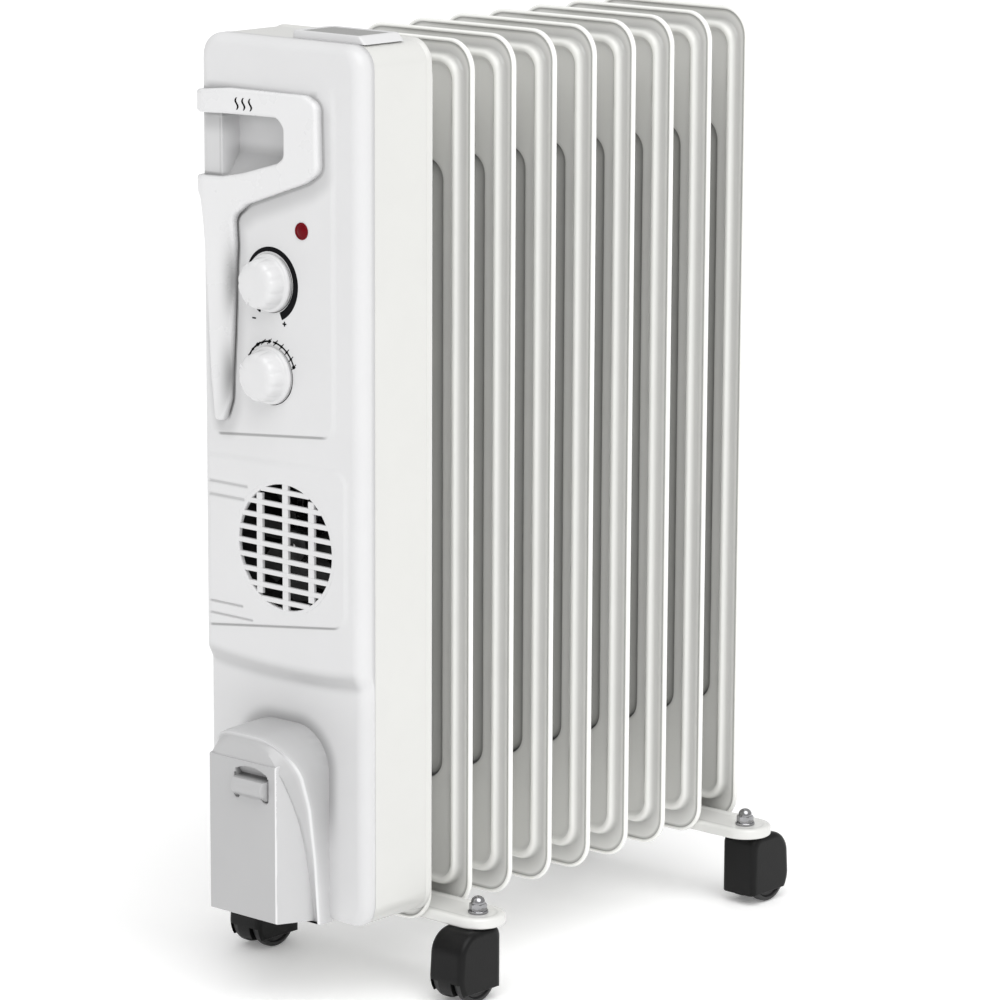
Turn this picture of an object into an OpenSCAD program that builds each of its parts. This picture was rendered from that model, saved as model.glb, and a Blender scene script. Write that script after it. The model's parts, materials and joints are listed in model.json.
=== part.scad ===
// Oil filled radiator heater with nine fins, a fan heater, a cord winder and four casters.
// +X is to the right of the control panel, -Y is the way the panel faces, +Z is up.
// The origin is on the floor, under the middle of the overall box.

/* [Fins] */
// Distance from one fin to the next
fin_pitch = 40.5; // [38:0.5:46]
// Width of a fin
fin_w = 136; // [130:1:138]
// Height of a fin
fin_h = 580; // [560:5:600]
// Corner radius of a fin
fin_r = 20; // [16:1:24]
// Height of the fins' lower edge above the floor
fin_z0 = 48; // [46:0.5:52]
// Half the thickness of the raised bead round a fin
bead_h = 7.5; // [6.5:0.25:8.5]
// Half the thickness of the oil passage inside the bead
passage_h = 4.5; // [3.5:0.25:5.5]

/* [Control box] */
// Width of the control box
box_w = 142; // [140:1:150]
// Depth from the lower face of the front cover to the first fin
box_d = 65.5; // [64:0.5:72]
// Height of the control box's lower edge above the floor
box_z0 = 58; // [56:1:62]
// Height of the control box's upper edge above the floor
box_z1 = 632; // [630:1:640]
// How far the upper face stands proud of the lower one
face_proud = 4; // [3:0.5:5]
// Corner radius of the control box
box_r = 15; // [12:1:18]

/* [Controls] */
// Height of the thermostat knob
thermostat_z = 476; // [472:1:480]
// Height of the heat selector knob
selector_z = 416; // [412:1:420]
// Distance of both knobs from the middle of the panel
knob_x = -7; // [-9:0.5:0]
// Radius of a knob's base
knob_r = 19; // [17:0.5:20]
// Radius of a knob's fluted grip
grip_r = 15; // [13:0.5:16]

/* [Fan] */
// Radius of the round fan opening
fan_r = 43; // [38:0.5:44]
// Height of the fan's axis
fan_z = 304; // [300:1:308]
// Distance of the fan's axis from the middle of the panel
fan_x = 4.5; // [0:0.5:5]

/* [Cord winder] */
// How far the winder's boss stands out from the lower face
boss_d = 41; // [36:1:44]
// Half the width of the winder's boss
boss_half_w = 30; // [26:1:32]

/* [Casters] */
// Distance of each caster's stem from the middle
stem_x = 92; // [90:0.5:96]
// Radius of a caster wheel
wheel_r = 18.5; // [17.5:0.25:18.5]
// Distance from the swivel axis back to the axle
trail = 13; // [11:0.5:14]

/* [Hidden] */
FIN_NAMES = [for (i = [1:9]) str("fin_", i)];
CORNERS = ["front_right", "front_left", "rear_right", "rear_left"];
HOOD_NAMES = [for (c = CORNERS) str("caster_hood_", c)];
AXLE_NAMES = [for (c = CORNERS) str("caster_axle_", c)];
WHEEL_NAMES = [for (c = CORNERS) str("caster_wheels_", c)];
$fn = 64;
eps = 0.1;
// Radial play of a turning fit, and of a fixed one
running = 0.06;
snug = 0.03;

// Fins, numbered from the control box to the back
fin_count = 9;
sheet = 0.8;
hem_w = 3;
hem_t = 4;
fin_z1 = fin_z0 + fin_h;
bead_inset = 7;
bead_w = 8;
bead_top = 9;
bead_bottom = 14;
bead_r = 15;
window_w = 90;
window_low = 87;
window_high = 79;
window_r = 14;
header_low_z = fin_z0 + 52;
header_high_z = fin_z1 - 44;
header_r = 14;
collar_r = 20;
collar_flare = 25;

// Control box
hook_d = 6;
caster_reach = 33.5;
body_front = boss_d + hook_d;
body_back = box_d + (fin_count - 1.5) * fin_pitch + caster_reach;
front_y = (body_front - body_back) / 2;
first_fin_y = front_y + box_d;
last_fin_y = first_fin_y + (fin_count - 1) * fin_pitch;
upper_y = front_y - face_proud;
pad_y = upper_y - 1;
edge_r = 8;
wall = 2.5;
step_z = 219;
casing_y0 = front_y + 9;
casing_y1 = first_fin_y - 2.6;
casing_t = 1;
shield_y = first_fin_y - 10.5;
shield_t = 1;

// Hand hold, a pocket behind and below the handle's bar
grip_x0 = -46;
grip_x1 = 6;
grip_z0 = 546;
grip_z1 = 592;
grip_back = front_y + 14;
handle_d = 7;

// Controls
shaft_r = 3;
bush_r = 5;
lamp_x = 21;
lamp_z = 512;
lamp_r = 5.6;
lamp_body_r = 4.8;

// Cord winder
boss_z0 = box_z0 + 6;
boss_z1 = 167;
saddle_half_w = 36;
saddle_z1 = 186;
saddle_half_w_inner = 33;
slot_half_w = 14;
slot_x = 8;
slot_z0 = 157;
slot_z1 = 165;

// Casters and their brackets
plate_z = fin_z0 + 9;
plate_t = 2.5;
plate_r = (fin_pitch - hem_t) / 2;
rim_z = plate_z - 7;
stem_r = 4;
stud_r = 3;
hood_top = rim_z - 0.6;
hood_back = 7;
hood_half_w = 14.5;
hood_r = wheel_r + 2;
hood_bow = 17;
well_r = wheel_r + 0.9;
web_half_w = 5.5;
skirt_t = 1.5;
axle_r = 2.5;
front_stem_y = first_fin_y + fin_pitch / 2;
rear_stem_y = last_fin_y - fin_pitch / 2;
STEMS = [[stem_x, front_stem_y], [-stem_x, front_stem_y], [stem_x, rear_stem_y], [-stem_x, rear_stem_y]];

function fin_y(i) = first_fin_y + i * fin_pitch;

// ---- shared shapes ----

// Extrudes an (x, z) outline along Y between two planes
module between(y0, y1) {
    translate([0, y1, 0])
        rotate([90, 0, 0])
            linear_extrude(y1 - y0)
                children();
}

// Extrudes a (y, z) outline along X between two planes
module across(x0, x1) {
    translate([x0, 0, 0])
        rotate([90, 0, 90])
            linear_extrude(x1 - x0)
                children();
}

// A cylinder along Y between two planes
module rod_y(x, z, r, y0, y1) {
    translate([x, y1, z])
        rotate([90, 0, 0])
            cylinder(r = r, h = y1 - y0);
}

// A rectangle with round corners, from z0 to z1
module rounded(w, z0, z1, r) {
    h = z1 - z0;
    translate([0, (z0 + z1) / 2]) {
        square([w - 2 * r, h], center = true);
        square([w, h - 2 * r], center = true);
        for (sx = [-1, 1], sz = [-1, 1])
            translate([sx * (w / 2 - r), sz * (h / 2 - r)])
                circle(r);
    }
}

module box(x0, x1, y0, y1, z0, z1) {
    translate([x0, y0, z0])
        cube([x1 - x0, y1 - y0, z1 - z0]);
}

// ---- fins and oil circuit ----

// Outline of the bead's outer edge, moved in by inset
module bead_outline(inset) {
    rounded(fin_w - 2 * (bead_inset + inset), fin_z0 + bead_bottom + inset, fin_z1 - bead_top - inset,
        bead_r - inset * 0.7);
}

// Outline of the sunk panel in the middle of a fin, grown by grow
module window_outline(grow) {
    rounded(window_w + 2 * grow, fin_z0 + window_low - grow, fin_z1 - window_high + grow, window_r + grow);
}

module fin_slab(y, t) {
    between(y - t / 2, y + t / 2)
        children();
}

// The space inside a fin, inset from the steel by gap
module fin_cavity(y, gap) {
    inset = sheet + gap;
    fin_slab(y, 2 * (passage_h - inset))
        difference() {
            bead_outline(inset);
            window_outline(inset);
        }
    fin_slab(y, 2 * (bead_h - inset))
        difference() {
            bead_outline(inset);
            bead_outline(bead_w - inset);
        }
}

module fin(i) {
    y = fin_y(i);
    color("gainsboro")
        difference() {
            union() {
                fin_slab(y, 2 * sheet)
                    rounded(fin_w, fin_z0, fin_z1, fin_r);
                fin_slab(y, hem_t)
                    difference() {
                        rounded(fin_w, fin_z0, fin_z1, fin_r);
                        rounded(fin_w - 2 * hem_w, fin_z0 + hem_w, fin_z1 - hem_w, fin_r - hem_w);
                    }
                fin_slab(y, 2 * passage_h)
                    difference() {
                        bead_outline(0);
                        window_outline(0);
                    }
                fin_slab(y, 2 * bead_h)
                    difference() {
                        bead_outline(0);
                        bead_outline(bead_w);
                    }
            }
            fin_cavity(y, 0);
            for (z = [header_low_z, header_high_z])
                rod_y(0, z, header_r, y - 10, y + 10);
        }
}

// Necks that join one fin's headers to the next fin's
module header_collars() {
    neck = fin_pitch - 2 * passage_h;
    color("gainsboro")
        for (i = [0:fin_count - 2], z = [header_low_z, header_high_z])
            translate([0, fin_y(i) + passage_h, z])
                rotate([-90, 0, 0])
                    rotate_extrude()
                        polygon([
                            [header_r, 0], [collar_flare, 0], [collar_r, 5],
                            [collar_r, neck - 5], [collar_flare, neck], [header_r, neck]
                        ]);
}

cap_r = 19;
cap_t = 3;
plug_r = 6;

// Discs that close the headers on the last fin, and the upper one on the first
module header_caps() {
    color("gainsboro") {
        for (z = [header_low_z, header_high_z])
            rod_y(0, z, cap_r, last_fin_y + passage_h, last_fin_y + passage_h + cap_t);
        difference() {
            rod_y(0, header_high_z, cap_r, first_fin_y - passage_h - cap_t, first_fin_y - passage_h);
            rod_y(0, header_high_z, plug_r, first_fin_y - 20, first_fin_y);
        }
    }
}

module oil_filler_plug() {
    cap_face = first_fin_y - passage_h - cap_t;
    color("goldenrod") {
        rod_y(0, header_high_z, plug_r - snug, cap_face, cap_face + cap_t);
        translate([0, cap_face, header_high_z])
            rotate([90, 0, 0])
                cylinder(r = 10, h = 7, $fn = 6);
    }
}

// Positions of the four legs of the two hairpin elements, about the lower header's axis
leg_r = 3.25;
leg_x = 6;
leg_z = 5.5;
LEGS = [for (sx = [-1, 1], sz = [-1, 1]) [sx * leg_x, header_low_z + sz * leg_z]];
element_y0 = first_fin_y - passage_h - 22;
element_y1 = last_fin_y - 12;

module element_legs(r, y0) {
    for (p = LEGS)
        rod_y(p[0], p[1], r, y0, element_y1);
}

module element_bends(r) {
    for (sz = [-1, 1])
        translate([0, element_y1, header_low_z + sz * leg_z])
            rotate_extrude(angle = 180)
                translate([leg_x, 0])
                    circle(r);
}

module heating_elements() {
    color("silver") {
        element_legs(leg_r, element_y0);
        element_bends(leg_r);
    }
}

module oil_charge() {
    gap = 0.1;
    y0 = first_fin_y - passage_h + gap;
    y1 = last_fin_y + passage_h - gap;
    color("goldenrod")
        difference() {
            union() {
                for (i = [0:fin_count - 1])
                    fin_cavity(fin_y(i), gap);
                rod_y(0, header_low_z, header_r - gap, y0, y1);
                rod_y(0, header_high_z, header_r - gap, y0, y1);
            }
            element_legs(leg_r + gap, element_y0);
            element_bends(leg_r + gap);
        }
}

flange_r = 24;
gasket_t = 1.5;
flange_t = 5;

module element_gasket() {
    y1 = first_fin_y - passage_h;
    color("dimgray")
        difference() {
            rod_y(0, header_low_z, flange_r, y1 - gasket_t, y1);
            rod_y(0, header_low_z, header_r, y1 - 5, y1 + 5);
        }
}

module element_flange() {
    y1 = first_fin_y - passage_h - gasket_t;
    color("darkgray")
        difference() {
            rod_y(0, header_low_z, flange_r, y1 - flange_t, y1);
            element_legs(leg_r + snug, element_y0);
        }
}

module heat_shield() {
    color("lightgray")
        difference() {
            between(shield_y - shield_t / 2, shield_y + shield_t / 2)
                rounded(box_w - 2 * casing_t - 1, box_z0 + 6, box_z1 - 6, box_r - 3);
            rod_y(0, header_low_z, flange_r + 2, shield_y - 5, shield_y + 5);
            rod_y(0, header_high_z, 13, shield_y - 5, shield_y + 5);
        }
}

// ---- control box ----

gland_x = -45;
gland_y = front_y + 34;
gland_r = 7;

// Sheet steel wrapper with a rolled bead at its back edge
module side_casing() {
    color("ivory")
        difference() {
            union() {
                between(casing_y0, casing_y1)
                    rounded(box_w - 0.6, box_z0 + 0.3, box_z1 - 0.3, box_r);
                between(casing_y1 - 3, casing_y1)
                    rounded(box_w + 1.4, box_z0 - 0.7, box_z1 + 0.7, box_r + 0.7);
            }
            between(casing_y0 - 5, casing_y1 + 5)
                rounded(box_w - 0.6 - 2 * casing_t, box_z0 + 0.3 + casing_t, box_z1 - 0.3 - casing_t,
                    box_r - casing_t);
            translate([gland_x, gland_y, box_z0 - 5])
                cylinder(r = gland_r + snug, h = 10);
            for (x = [0:12:48])
                box(x, x + 6, front_y + 22, front_y + 46, box_z0 - 5, box_z0 + 5);
            for (i = [0:4])
                box(vent_x0 + 8, vent_x1 - 8, vent_slot_y(i), vent_slot_y(i) + 3, box_z1 - 5, box_z1 + 5);
        }
}

vent_x0 = -1;
vent_x1 = 57;
vent_y0 = casing_y0 + 1;
vent_y1 = casing_y0 + 38;
vent_h = 5;
function vent_slot_y(i) = vent_y0 + 5 + i * 6.2;

// Raised louvred cover over the air opening in the top of the box
module top_vent_cover() {
    z0 = box_z1 - 0.3;
    z1 = box_z1 + vent_h;
    color("silver")
        difference() {
            between(vent_y0, vent_y1)
                polygon([[vent_x0, z0], [vent_x0, z1], [vent_x1, z1], [vent_x1 + 5, z0]]);
            between(vent_y0 + 2, vent_y1 - 2)
                polygon([[vent_x0 + 2, z0 - 1], [vent_x0 + 2, z1 - 2],
                    [vent_x1 - 2, z1 - 2], [vent_x1, z0 - 1]]);
            for (i = [0:4])
                box(vent_x0 + 8, vent_x1 - 8, vent_slot_y(i), vent_slot_y(i) + 3, z0, z1 + 1);
        }
}

// A shell form with quarter-round edges at its front, shrunk by t for the inside
module rounded_block(y_front, y_back, z0, t) {
    hull() {
        for (a = [0:22.5:90]) {
            inset = edge_r * (1 - sin(a)) + t;
            y = y_front + edge_r * (1 - cos(a)) + t;
            between(y, y + eps)
                rounded(box_w - 2 * inset, z0 + inset, box_z1 - inset, max(box_r - inset, 2), $fn = 32);
        }
        between(y_back - eps, y_back)
            rounded(box_w - 2 * t, z0 + t, box_z1 - t, box_r - t, $fn = 32);
    }
}

// Outline of the raised field round the knobs, and of the one round the fan
module control_field() {
    translate([-6.5, 0])
        rounded(111, 376, 556, 9);
}

module fan_field() {
    translate([-2, 0])
        rounded(120, 246, 356, 11);
}

module front_cover() {
    grooves = [336, 327, 262, 253];
    color("whitesmoke")
        difference() {
            union() {
                difference() {
                    union() {
                        rounded_block(front_y, casing_y0, box_z0, 0);
                        rounded_block(upper_y, casing_y0, step_z, 0);
                        between(pad_y, front_y)
                            control_field();
                        between(pad_y, front_y)
                            fan_field();
                    }
                    rounded_block(front_y, casing_y0 + 1, box_z0, wall);
                    rounded_block(upper_y, casing_y0 + 1, step_z, wall);
                }
                // walls of the hand hold, and a plug-in lip that sits inside the casing
                box(grip_x0 - 2, grip_x1 + 2, upper_y + 1, grip_back + 2, grip_z0 - 2, grip_z1 + 2);
                between(casing_y0 - 4, casing_y0 + 5)
                    difference() {
                        rounded(box_w - 3, box_z0 + 1.5, box_z1 - 1.5, box_r - 1.5);
                        rounded(box_w - 6, box_z0 + 3, box_z1 - 3, box_r - 3);
                    }
            }
            across(grip_x0, grip_x1)
                polygon([
                    [pad_y - 5, grip_z0 - 1], [grip_back, grip_z0 + 10],
                    [grip_back, grip_z1], [pad_y - 5, grip_z1]
                ]);
            rod_y(knob_x, thermostat_z, bush_r + 0.3, pad_y - 5, front_y + 20);
            rod_y(knob_x, selector_z, bush_r + 0.3, pad_y - 5, front_y + 20);
            rod_y(lamp_x, lamp_z, lamp_body_r, pad_y - 5, front_y + 20);
            rod_y(fan_x, fan_z, fan_r + 0.3, pad_y - 5, front_y + 20);
            for (z = grooves)
                box(-box_w / 2 + 10, fan_x - 32, pad_y - 1, pad_y + 0.8, z, z + 1.6);
        }
}

// Outline of the handle: a bar, a bowl that turns under it and a tail that runs down beside the knobs
module handle_outline() {
    offset(r = 3)
        offset(delta = -3)
            polygon([
                [-71, 594.5], [-20, 597.5], [27, 598], [35.5, 589], [35.5, 552], [27, 543],
                [-30, 523.5], [-40, 508], [-41, 470], [-44.5, 391], [-49, 382], [-58, 382],
                [-62, 450], [-66, 510], [-71, 526], [-71, 539], [-46, 541], [-20, 548],
                [6, 556], [6, 574], [-2, 581.5], [-71, 579]
            ]);
}

module handle() {
    y0 = upper_y - handle_d;
    y1 = front_y + 6;
    side = box_w / 2;
    color("white")
        difference() {
            union() {
                between(y0, upper_y)
                    handle_outline();
                box(-side - 2, -side + 1, y0 + 1, upper_y, 580, 593);
                box(-side - 2, -side + 1, y0 + 1, upper_y, 527, 538);
                box(-side - 2, -side, y0 + 1, y1, 580, 593);
                box(-side - 2, -side, y0 + 1, y1, 527, 538);
            }
            between(pad_y, upper_y + 1)
                control_field();
        }
}

grille_t = 3;

module fan_grille() {
    ring = 2.5;
    bar_h = 3.6;
    row = 9.1;
    upright = 6;
    column = 23;
    color("whitesmoke")
        translate([fan_x, 0, 0])
            between(pad_y, pad_y + grille_t) {
                difference() {
                    translate([0, fan_z])
                        circle(fan_r);
                    translate([0, fan_z])
                        circle(fan_r - ring);
                }
                intersection() {
                    translate([0, fan_z])
                        circle(fan_r - ring / 2);
                    union() {
                        for (i = [-4:4])
                            translate([-fan_r, fan_z + i * row - bar_h / 2])
                                square([2 * fan_r, bar_h]);
                        for (i = [-1:1])
                            translate([i * column - upright / 2, fan_z - fan_r])
                                square([upright, 2 * fan_r]);
                    }
                }
            }
}

duct_r = fan_r + 2;
duct_bore = fan_r - 1;
duct_y0 = upper_y + wall;
duct_y1 = shield_y - 4;
impeller_y0 = front_y + 3;
impeller_y1 = impeller_y0 + 13;
motor_y0 = impeller_y1 + 2;
motor_y1 = motor_y0 + 15;
motor_r = 15;
motor_shaft_r = 1.6;
impeller_r = duct_bore - 3;

// Round duct behind the grille, with three arms that carry the motor
module fan_housing() {
    color("dimgray")
        union() {
            difference() {
                rod_y(fan_x, fan_z, duct_r, duct_y0, duct_y1);
                rod_y(fan_x, fan_z, duct_bore, duct_y0 - 1, duct_y1 + 1);
            }
            for (a = [90:120:330])
                translate([fan_x, motor_y1 + 1.2, fan_z])
                    rotate([0, a, 0])
                        translate([0, -1, -2])
                            cube([duct_r - 1, 2, 4]);
            rod_y(fan_x, fan_z, 9, motor_y1, motor_y1 + 2.2);
        }
}

module fan_motor() {
    color("gray")
        difference() {
            rod_y(fan_x, fan_z, motor_r, motor_y0, motor_y1);
            rod_y(fan_x, fan_z, motor_shaft_r + running, motor_y0 - 1, motor_y1 - 3);
        }
}

module fan_shaft() {
    color("silver")
        rod_y(fan_x, fan_z, motor_shaft_r, impeller_y0 + 1, motor_y1 - 3.5);
}

// Seven pitched blades round a hub
module fan_impeller() {
    color("darkslategray")
        difference() {
            union() {
                rod_y(fan_x, fan_z, 11, impeller_y0, impeller_y1);
                intersection() {
                    rod_y(fan_x, fan_z, impeller_r, impeller_y0, impeller_y1);
                    for (i = [0:6])
                        translate([fan_x, (impeller_y0 + impeller_y1) / 2, fan_z])
                            rotate([0, i * 360 / 7, 0])
                                translate([9, 0, 0])
                                    rotate([38, 0, 0])
                                        translate([0, -0.7, -12])
                                            cube([impeller_r, 1.4, 24]);
                }
            }
            rod_y(fan_x, fan_z, motor_shaft_r, impeller_y0 - 1, impeller_y1 + 1);
        }
}

// Ceramic heating block: two bus bars with corrugated fins between them
module ptc_heater() {
    y0 = motor_y1 + 3.4;
    y1 = duct_y1 - 1;
    half = 29.2;
    bar = 4;
    fins = 12;
    step = (2 * half - bar) / fins;
    color("peru") {
        for (z = [-half, -bar / 2, half - bar])
            box(fan_x - half, fan_x + half, y0, y1, fan_z + z, fan_z + z + bar);
        for (i = [0:fins])
            box(fan_x - half + i * step, fan_x - half + i * step + 1.2, y0 + 1, y1 - 1,
                fan_z - half + 1, fan_z + half - 1);
    }
}

// ---- controls ----

control_y0 = front_y + 6;
thermostat_half_w = 15;
selector_half_w = 17;

// A switch body with a threaded bush that clamps it to the cover
module control_body(z, half_w, half_h, depth) {
    difference() {
        union() {
            box(knob_x - half_w, knob_x + half_w, control_y0, control_y0 + depth, z - half_h, z + half_h);
            rod_y(knob_x, z, bush_r, upper_y + wall, control_y0 + 1);
            rod_y(knob_x, z, bush_r + 4, upper_y + wall + 0.2, upper_y + wall + 3);
        }
        rod_y(knob_x, z, shaft_r + running, upper_y, control_y0 + 12);
    }
}

module control_shaft(z) {
    rod_y(knob_x, z, shaft_r, pad_y - 11, control_y0 + 11.5);
}

// A fluted grip on a round base
module control_knob(z) {
    base_y = pad_y - 0.4;
    base_t = 3.5;
    grip_d = 12;
    flutes = 14;
    difference() {
        union() {
            rod_y(knob_x, z, knob_r, base_y - base_t, base_y);
            difference() {
                rod_y(knob_x, z, grip_r, base_y - base_t - grip_d, base_y - base_t + eps);
                for (i = [0:flutes - 1])
                    translate([knob_x, base_y - base_t, z])
                        rotate([0, i * 360 / flutes, 0])
                            translate([grip_r + 1, 0, 0])
                                rotate([90, 0, 0])
                                    cylinder(r = 2.2, h = grip_d + 1);
            }
        }
        rod_y(knob_x, z, shaft_r + snug, pad_y - 11, base_y + 1);
    }
}

module thermostat() {
    color("tan")
        control_body(thermostat_z, thermostat_half_w, 14, 22);
}

module thermostat_shaft() {
    color("silver")
        control_shaft(thermostat_z);
}

module thermostat_knob() {
    color("white")
        control_knob(thermostat_z);
}

module selector_switch() {
    color("darkslategray")
        control_body(selector_z, selector_half_w, 13, 26);
}

module selector_shaft() {
    color("silver")
        control_shaft(selector_z);
}

module selector_knob() {
    color("white")
        control_knob(selector_z);
}

// Neon lamp with a domed red lens
module power_lamp() {
    color("firebrick") {
        rod_y(lamp_x, lamp_z, lamp_body_r - snug, pad_y, front_y + 16);
        rod_y(lamp_x, lamp_z, lamp_r, pad_y - 1.4, pad_y);
    }
}

cutout_x = 34;
cutout_z = 545;

module thermal_cutout() {
    y1 = shield_y - shield_t / 2;
    color("black") {
        rod_y(cutout_x, cutout_z, 8, y1 - 7, y1);
        box(cutout_x - 12, cutout_x + 12, y1 - 1, y1, cutout_z - 3, cutout_z + 3);
    }
}

block_x0 = -38;
block_x1 = 10;
block_z0 = 190;
block_y0 = shield_y - 16;
block_h = 18;

module terminal_block() {
    color("beige")
        difference() {
            box(block_x0, block_x1, block_y0, shield_y - shield_t / 2, block_z0, block_z0 + block_h);
            for (x = [block_x0 + 6:12:block_x1 - 6])
                translate([x, block_y0 + 7, block_z0 - 1])
                    cylinder(r = 3, h = 20);
        }
}

wire_r = 1.4;

// One wire: straight runs along a list of points, with round joints
module wire(points) {
    for (i = [0:len(points) - 2])
        hull()
            for (p = [points[i], points[i + 1]])
                translate(p)
                    sphere(r = wire_r, $fn = 8);
}

// Leads from the terminal block to the controls, the fan and the elements
module wiring_harness() {
    top_z = block_z0 + block_h;
    back_y = block_y0 + 7;
    left = -56;
    touch = wire_r - 0.2;
    color("firebrick") {
        wire([[block_x0 + 6, back_y, top_z], [block_x0 + 6, back_y, 228], [left, back_y, 236],
            [left, back_y, thermostat_z],
            [knob_x - thermostat_half_w - touch, control_y0 + 20, thermostat_z]]);
        wire([[block_x0 + 18, back_y, top_z], [block_x0 + 18, back_y - 6, 222], [left + 4, back_y - 8, 240],
            [left + 4, back_y - 8, selector_z],
            [knob_x - selector_half_w - touch, control_y0 + 20, selector_z]]);
        wire([[block_x0 + 30, back_y, top_z], [block_x0 + 30, back_y, 218], [58, back_y - 4, 236],
            [58, back_y - 4, 512], [32, front_y + 24, 512], [lamp_x, front_y + 24, lamp_z],
            [lamp_x, front_y + 17, lamp_z]]);
        wire([[block_x0 + 42, back_y, top_z], [block_x0 + 42, back_y, 214], [54, back_y, 232],
            [54, back_y, 540], [cutout_x + 10, back_y, cutout_z]]);
        wire([[block_x0 + 6, back_y, block_z0], [block_x0 + 6, back_y, 150], [-leg_x, back_y - 12, 126],
            [-leg_x, element_y0 - 2, header_low_z + leg_z]]);
        wire([[block_x0 + 30, back_y, block_z0], [block_x0 + 30, back_y, 150], [leg_x, back_y - 12, 126],
            [leg_x, element_y0 - 2, header_low_z + leg_z]]);
    }
}

pivot_x = 42;
pivot_z = 112;
pivot_y0 = front_y + 20;
pivot_r = 1.5;

// Tip-over safety switch: a bracket with a pivot pin, and a weight that hangs from it
module tip_over_switch() {
    color("lightgray") {
        box(pivot_x - 14, pivot_x + 14, pivot_y0 + 12, pivot_y0 + 14, 78, 124);
        box(pivot_x - 14, pivot_x + 14, pivot_y0 - 2, shield_y - shield_t / 2, 121, 124);
        rod_y(pivot_x, pivot_z, pivot_r, pivot_y0 - 1, pivot_y0 + 13);
    }
    color("dimgray")
        box(pivot_x - 8, pivot_x + 8, pivot_y0 + 14, pivot_y0 + 24, 98, 120);
}

module tip_over_pendulum() {
    color("goldenrod")
        difference() {
            union() {
                rod_y(pivot_x, pivot_z, 4, pivot_y0 + 2, pivot_y0 + 9);
                box(pivot_x - 1.5, pivot_x + 1.5, pivot_y0 + 4, pivot_y0 + 7, 90, pivot_z);
                rod_y(pivot_x, 88, 7, pivot_y0 + 1, pivot_y0 + 10);
            }
            rod_y(pivot_x, pivot_z, pivot_r + running, pivot_y0, pivot_y0 + 12);
        }
}

// ---- cord gland and winder ----

cord_bore_r = 4;
gland_z0 = box_z0 - 3.5;
gland_z1 = box_z0 + 16.5;

module cord_gland() {
    color("dimgray")
        translate([gland_x, gland_y, 0])
            difference() {
                union() {
                    translate([0, 0, gland_z0])
                        cylinder(r = gland_r + 3, h = box_z0 - gland_z0);
                    translate([0, 0, box_z0])
                        cylinder(r = gland_r, h = gland_z1 - box_z0);
                }
                translate([0, 0, gland_z0 - 1])
                    cylinder(r = cord_bore_r, h = gland_z1 - gland_z0 + 2);
            }
}

// Side profile of the winder's saddle: deep at its top, running out towards its foot.
// drop lowers the curve, reach scales its depth
function saddle_curve(drop, reach) =
    [for (t = [0:0.1:1])
        let (z = boss_z0 - 6 + t * (saddle_z1 - 4 - drop - boss_z0 + 6))
        [front_y - reach * (4 + 38 * pow(t, 3.2)), z]];

module saddle_profile(drop, reach) {
    polygon(concat(
        [[front_y, boss_z0 - 6]],
        saddle_curve(drop, reach),
        [[front_y - reach * 40, saddle_z1 - drop], [front_y, saddle_z1 - drop]]
    ));
}

// Front boss that the cord is wound round, on a curved saddle, with a sprung tab for the cord's end
module cord_winder() {
    face = front_y - boss_d;
    color("whitesmoke")
        difference() {
            union() {
                across(-saddle_half_w, saddle_half_w)
                    saddle_profile(3, 0.88);
                across(-saddle_half_w_inner, saddle_half_w_inner)
                    saddle_profile(0, 1);
                box(-boss_half_w, boss_half_w, face, front_y, boss_z0, boss_z1);
                across(slot_x - slot_half_w, slot_x + slot_half_w)
                    polygon([
                        [face + 1, 144], [face - 3, 144.5], [face - hook_d, 147], [face - hook_d, 152],
                        [face - 3.5, 156], [face + 1, slot_z0]
                    ]);
            }
            box(-boss_half_w + wall, boss_half_w - wall, face + wall, front_y + 1,
                boss_z0 + wall, boss_z1 - wall);
            box(slot_x - slot_half_w, slot_x + slot_half_w, face - 1, face + 5, slot_z0, slot_z1);
        }
}

// ---- casters ----

// Stamped plate wedged between the hems of two fins, with a turned-down rim
module caster_bracket(y) {
    color("whitesmoke")
        translate([0, y, 0])
            difference() {
                translate([0, 0, rim_z])
                    linear_extrude(plate_z - rim_z)
                        bracket_outline(0);
                translate([0, 0, rim_z - 1])
                    linear_extrude(plate_z - plate_t - rim_z + 1)
                        bracket_outline(2);
                for (sx = [-1, 1]) {
                    translate([sx * stem_x, 0, rim_z])
                        cylinder(r = stud_r + snug, h = 20);
                    translate([sx * bolt_x, 0, rim_z])
                        cylinder(r = bolt_r + 0.2, h = 20);
                }
            }
}

module bracket_outline(inset) {
    square([2 * stem_x, 2 * (plate_r - inset)], center = true);
    for (sx = [-1, 1])
        translate([sx * stem_x, 0])
            circle(plate_r - inset);
}

bolt_r = 2.5;
bolt_x = collar_r + bolt_r + 0.4;

// A bolt over the lower header's neck, down through each bracket
module bracket_u_bolts() {
    color("silver")
        for (y = [front_stem_y, rear_stem_y])
            translate([0, y, header_low_z]) {
                for (sx = [-1, 1])
                    translate([sx * bolt_x, 0, rim_z - 8 - header_low_z])
                        cylinder(r = bolt_r, h = header_low_z - rim_z + 8);
                rotate([90, 0, 0])
                    rotate_extrude(angle = 180)
                        translate([bolt_x, 0])
                            circle(bolt_r);
            }
}

module bracket_wing_nuts() {
    z1 = plate_z - plate_t;
    color("silver")
        for (y = [front_stem_y, rear_stem_y], sx = [-1, 1])
            translate([sx * bolt_x, y, 0])
                difference() {
                    union() {
                        translate([0, 0, z1 - 7])
                            cylinder(r = 5, h = 7);
                        for (sy = [-1, 1])
                            box(-1, 1, sy * 8 - 4.5, sy * 8 + 4.5, z1 - 11, z1 - 2);
                    }
                    translate([0, 0, z1 - 20])
                        cylinder(r = bolt_r + snug, h = 30);
                }
}

stem_flange_z = plate_z - plate_t;
stem_flange_r = 6;
stud_top = 6.5;

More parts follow.
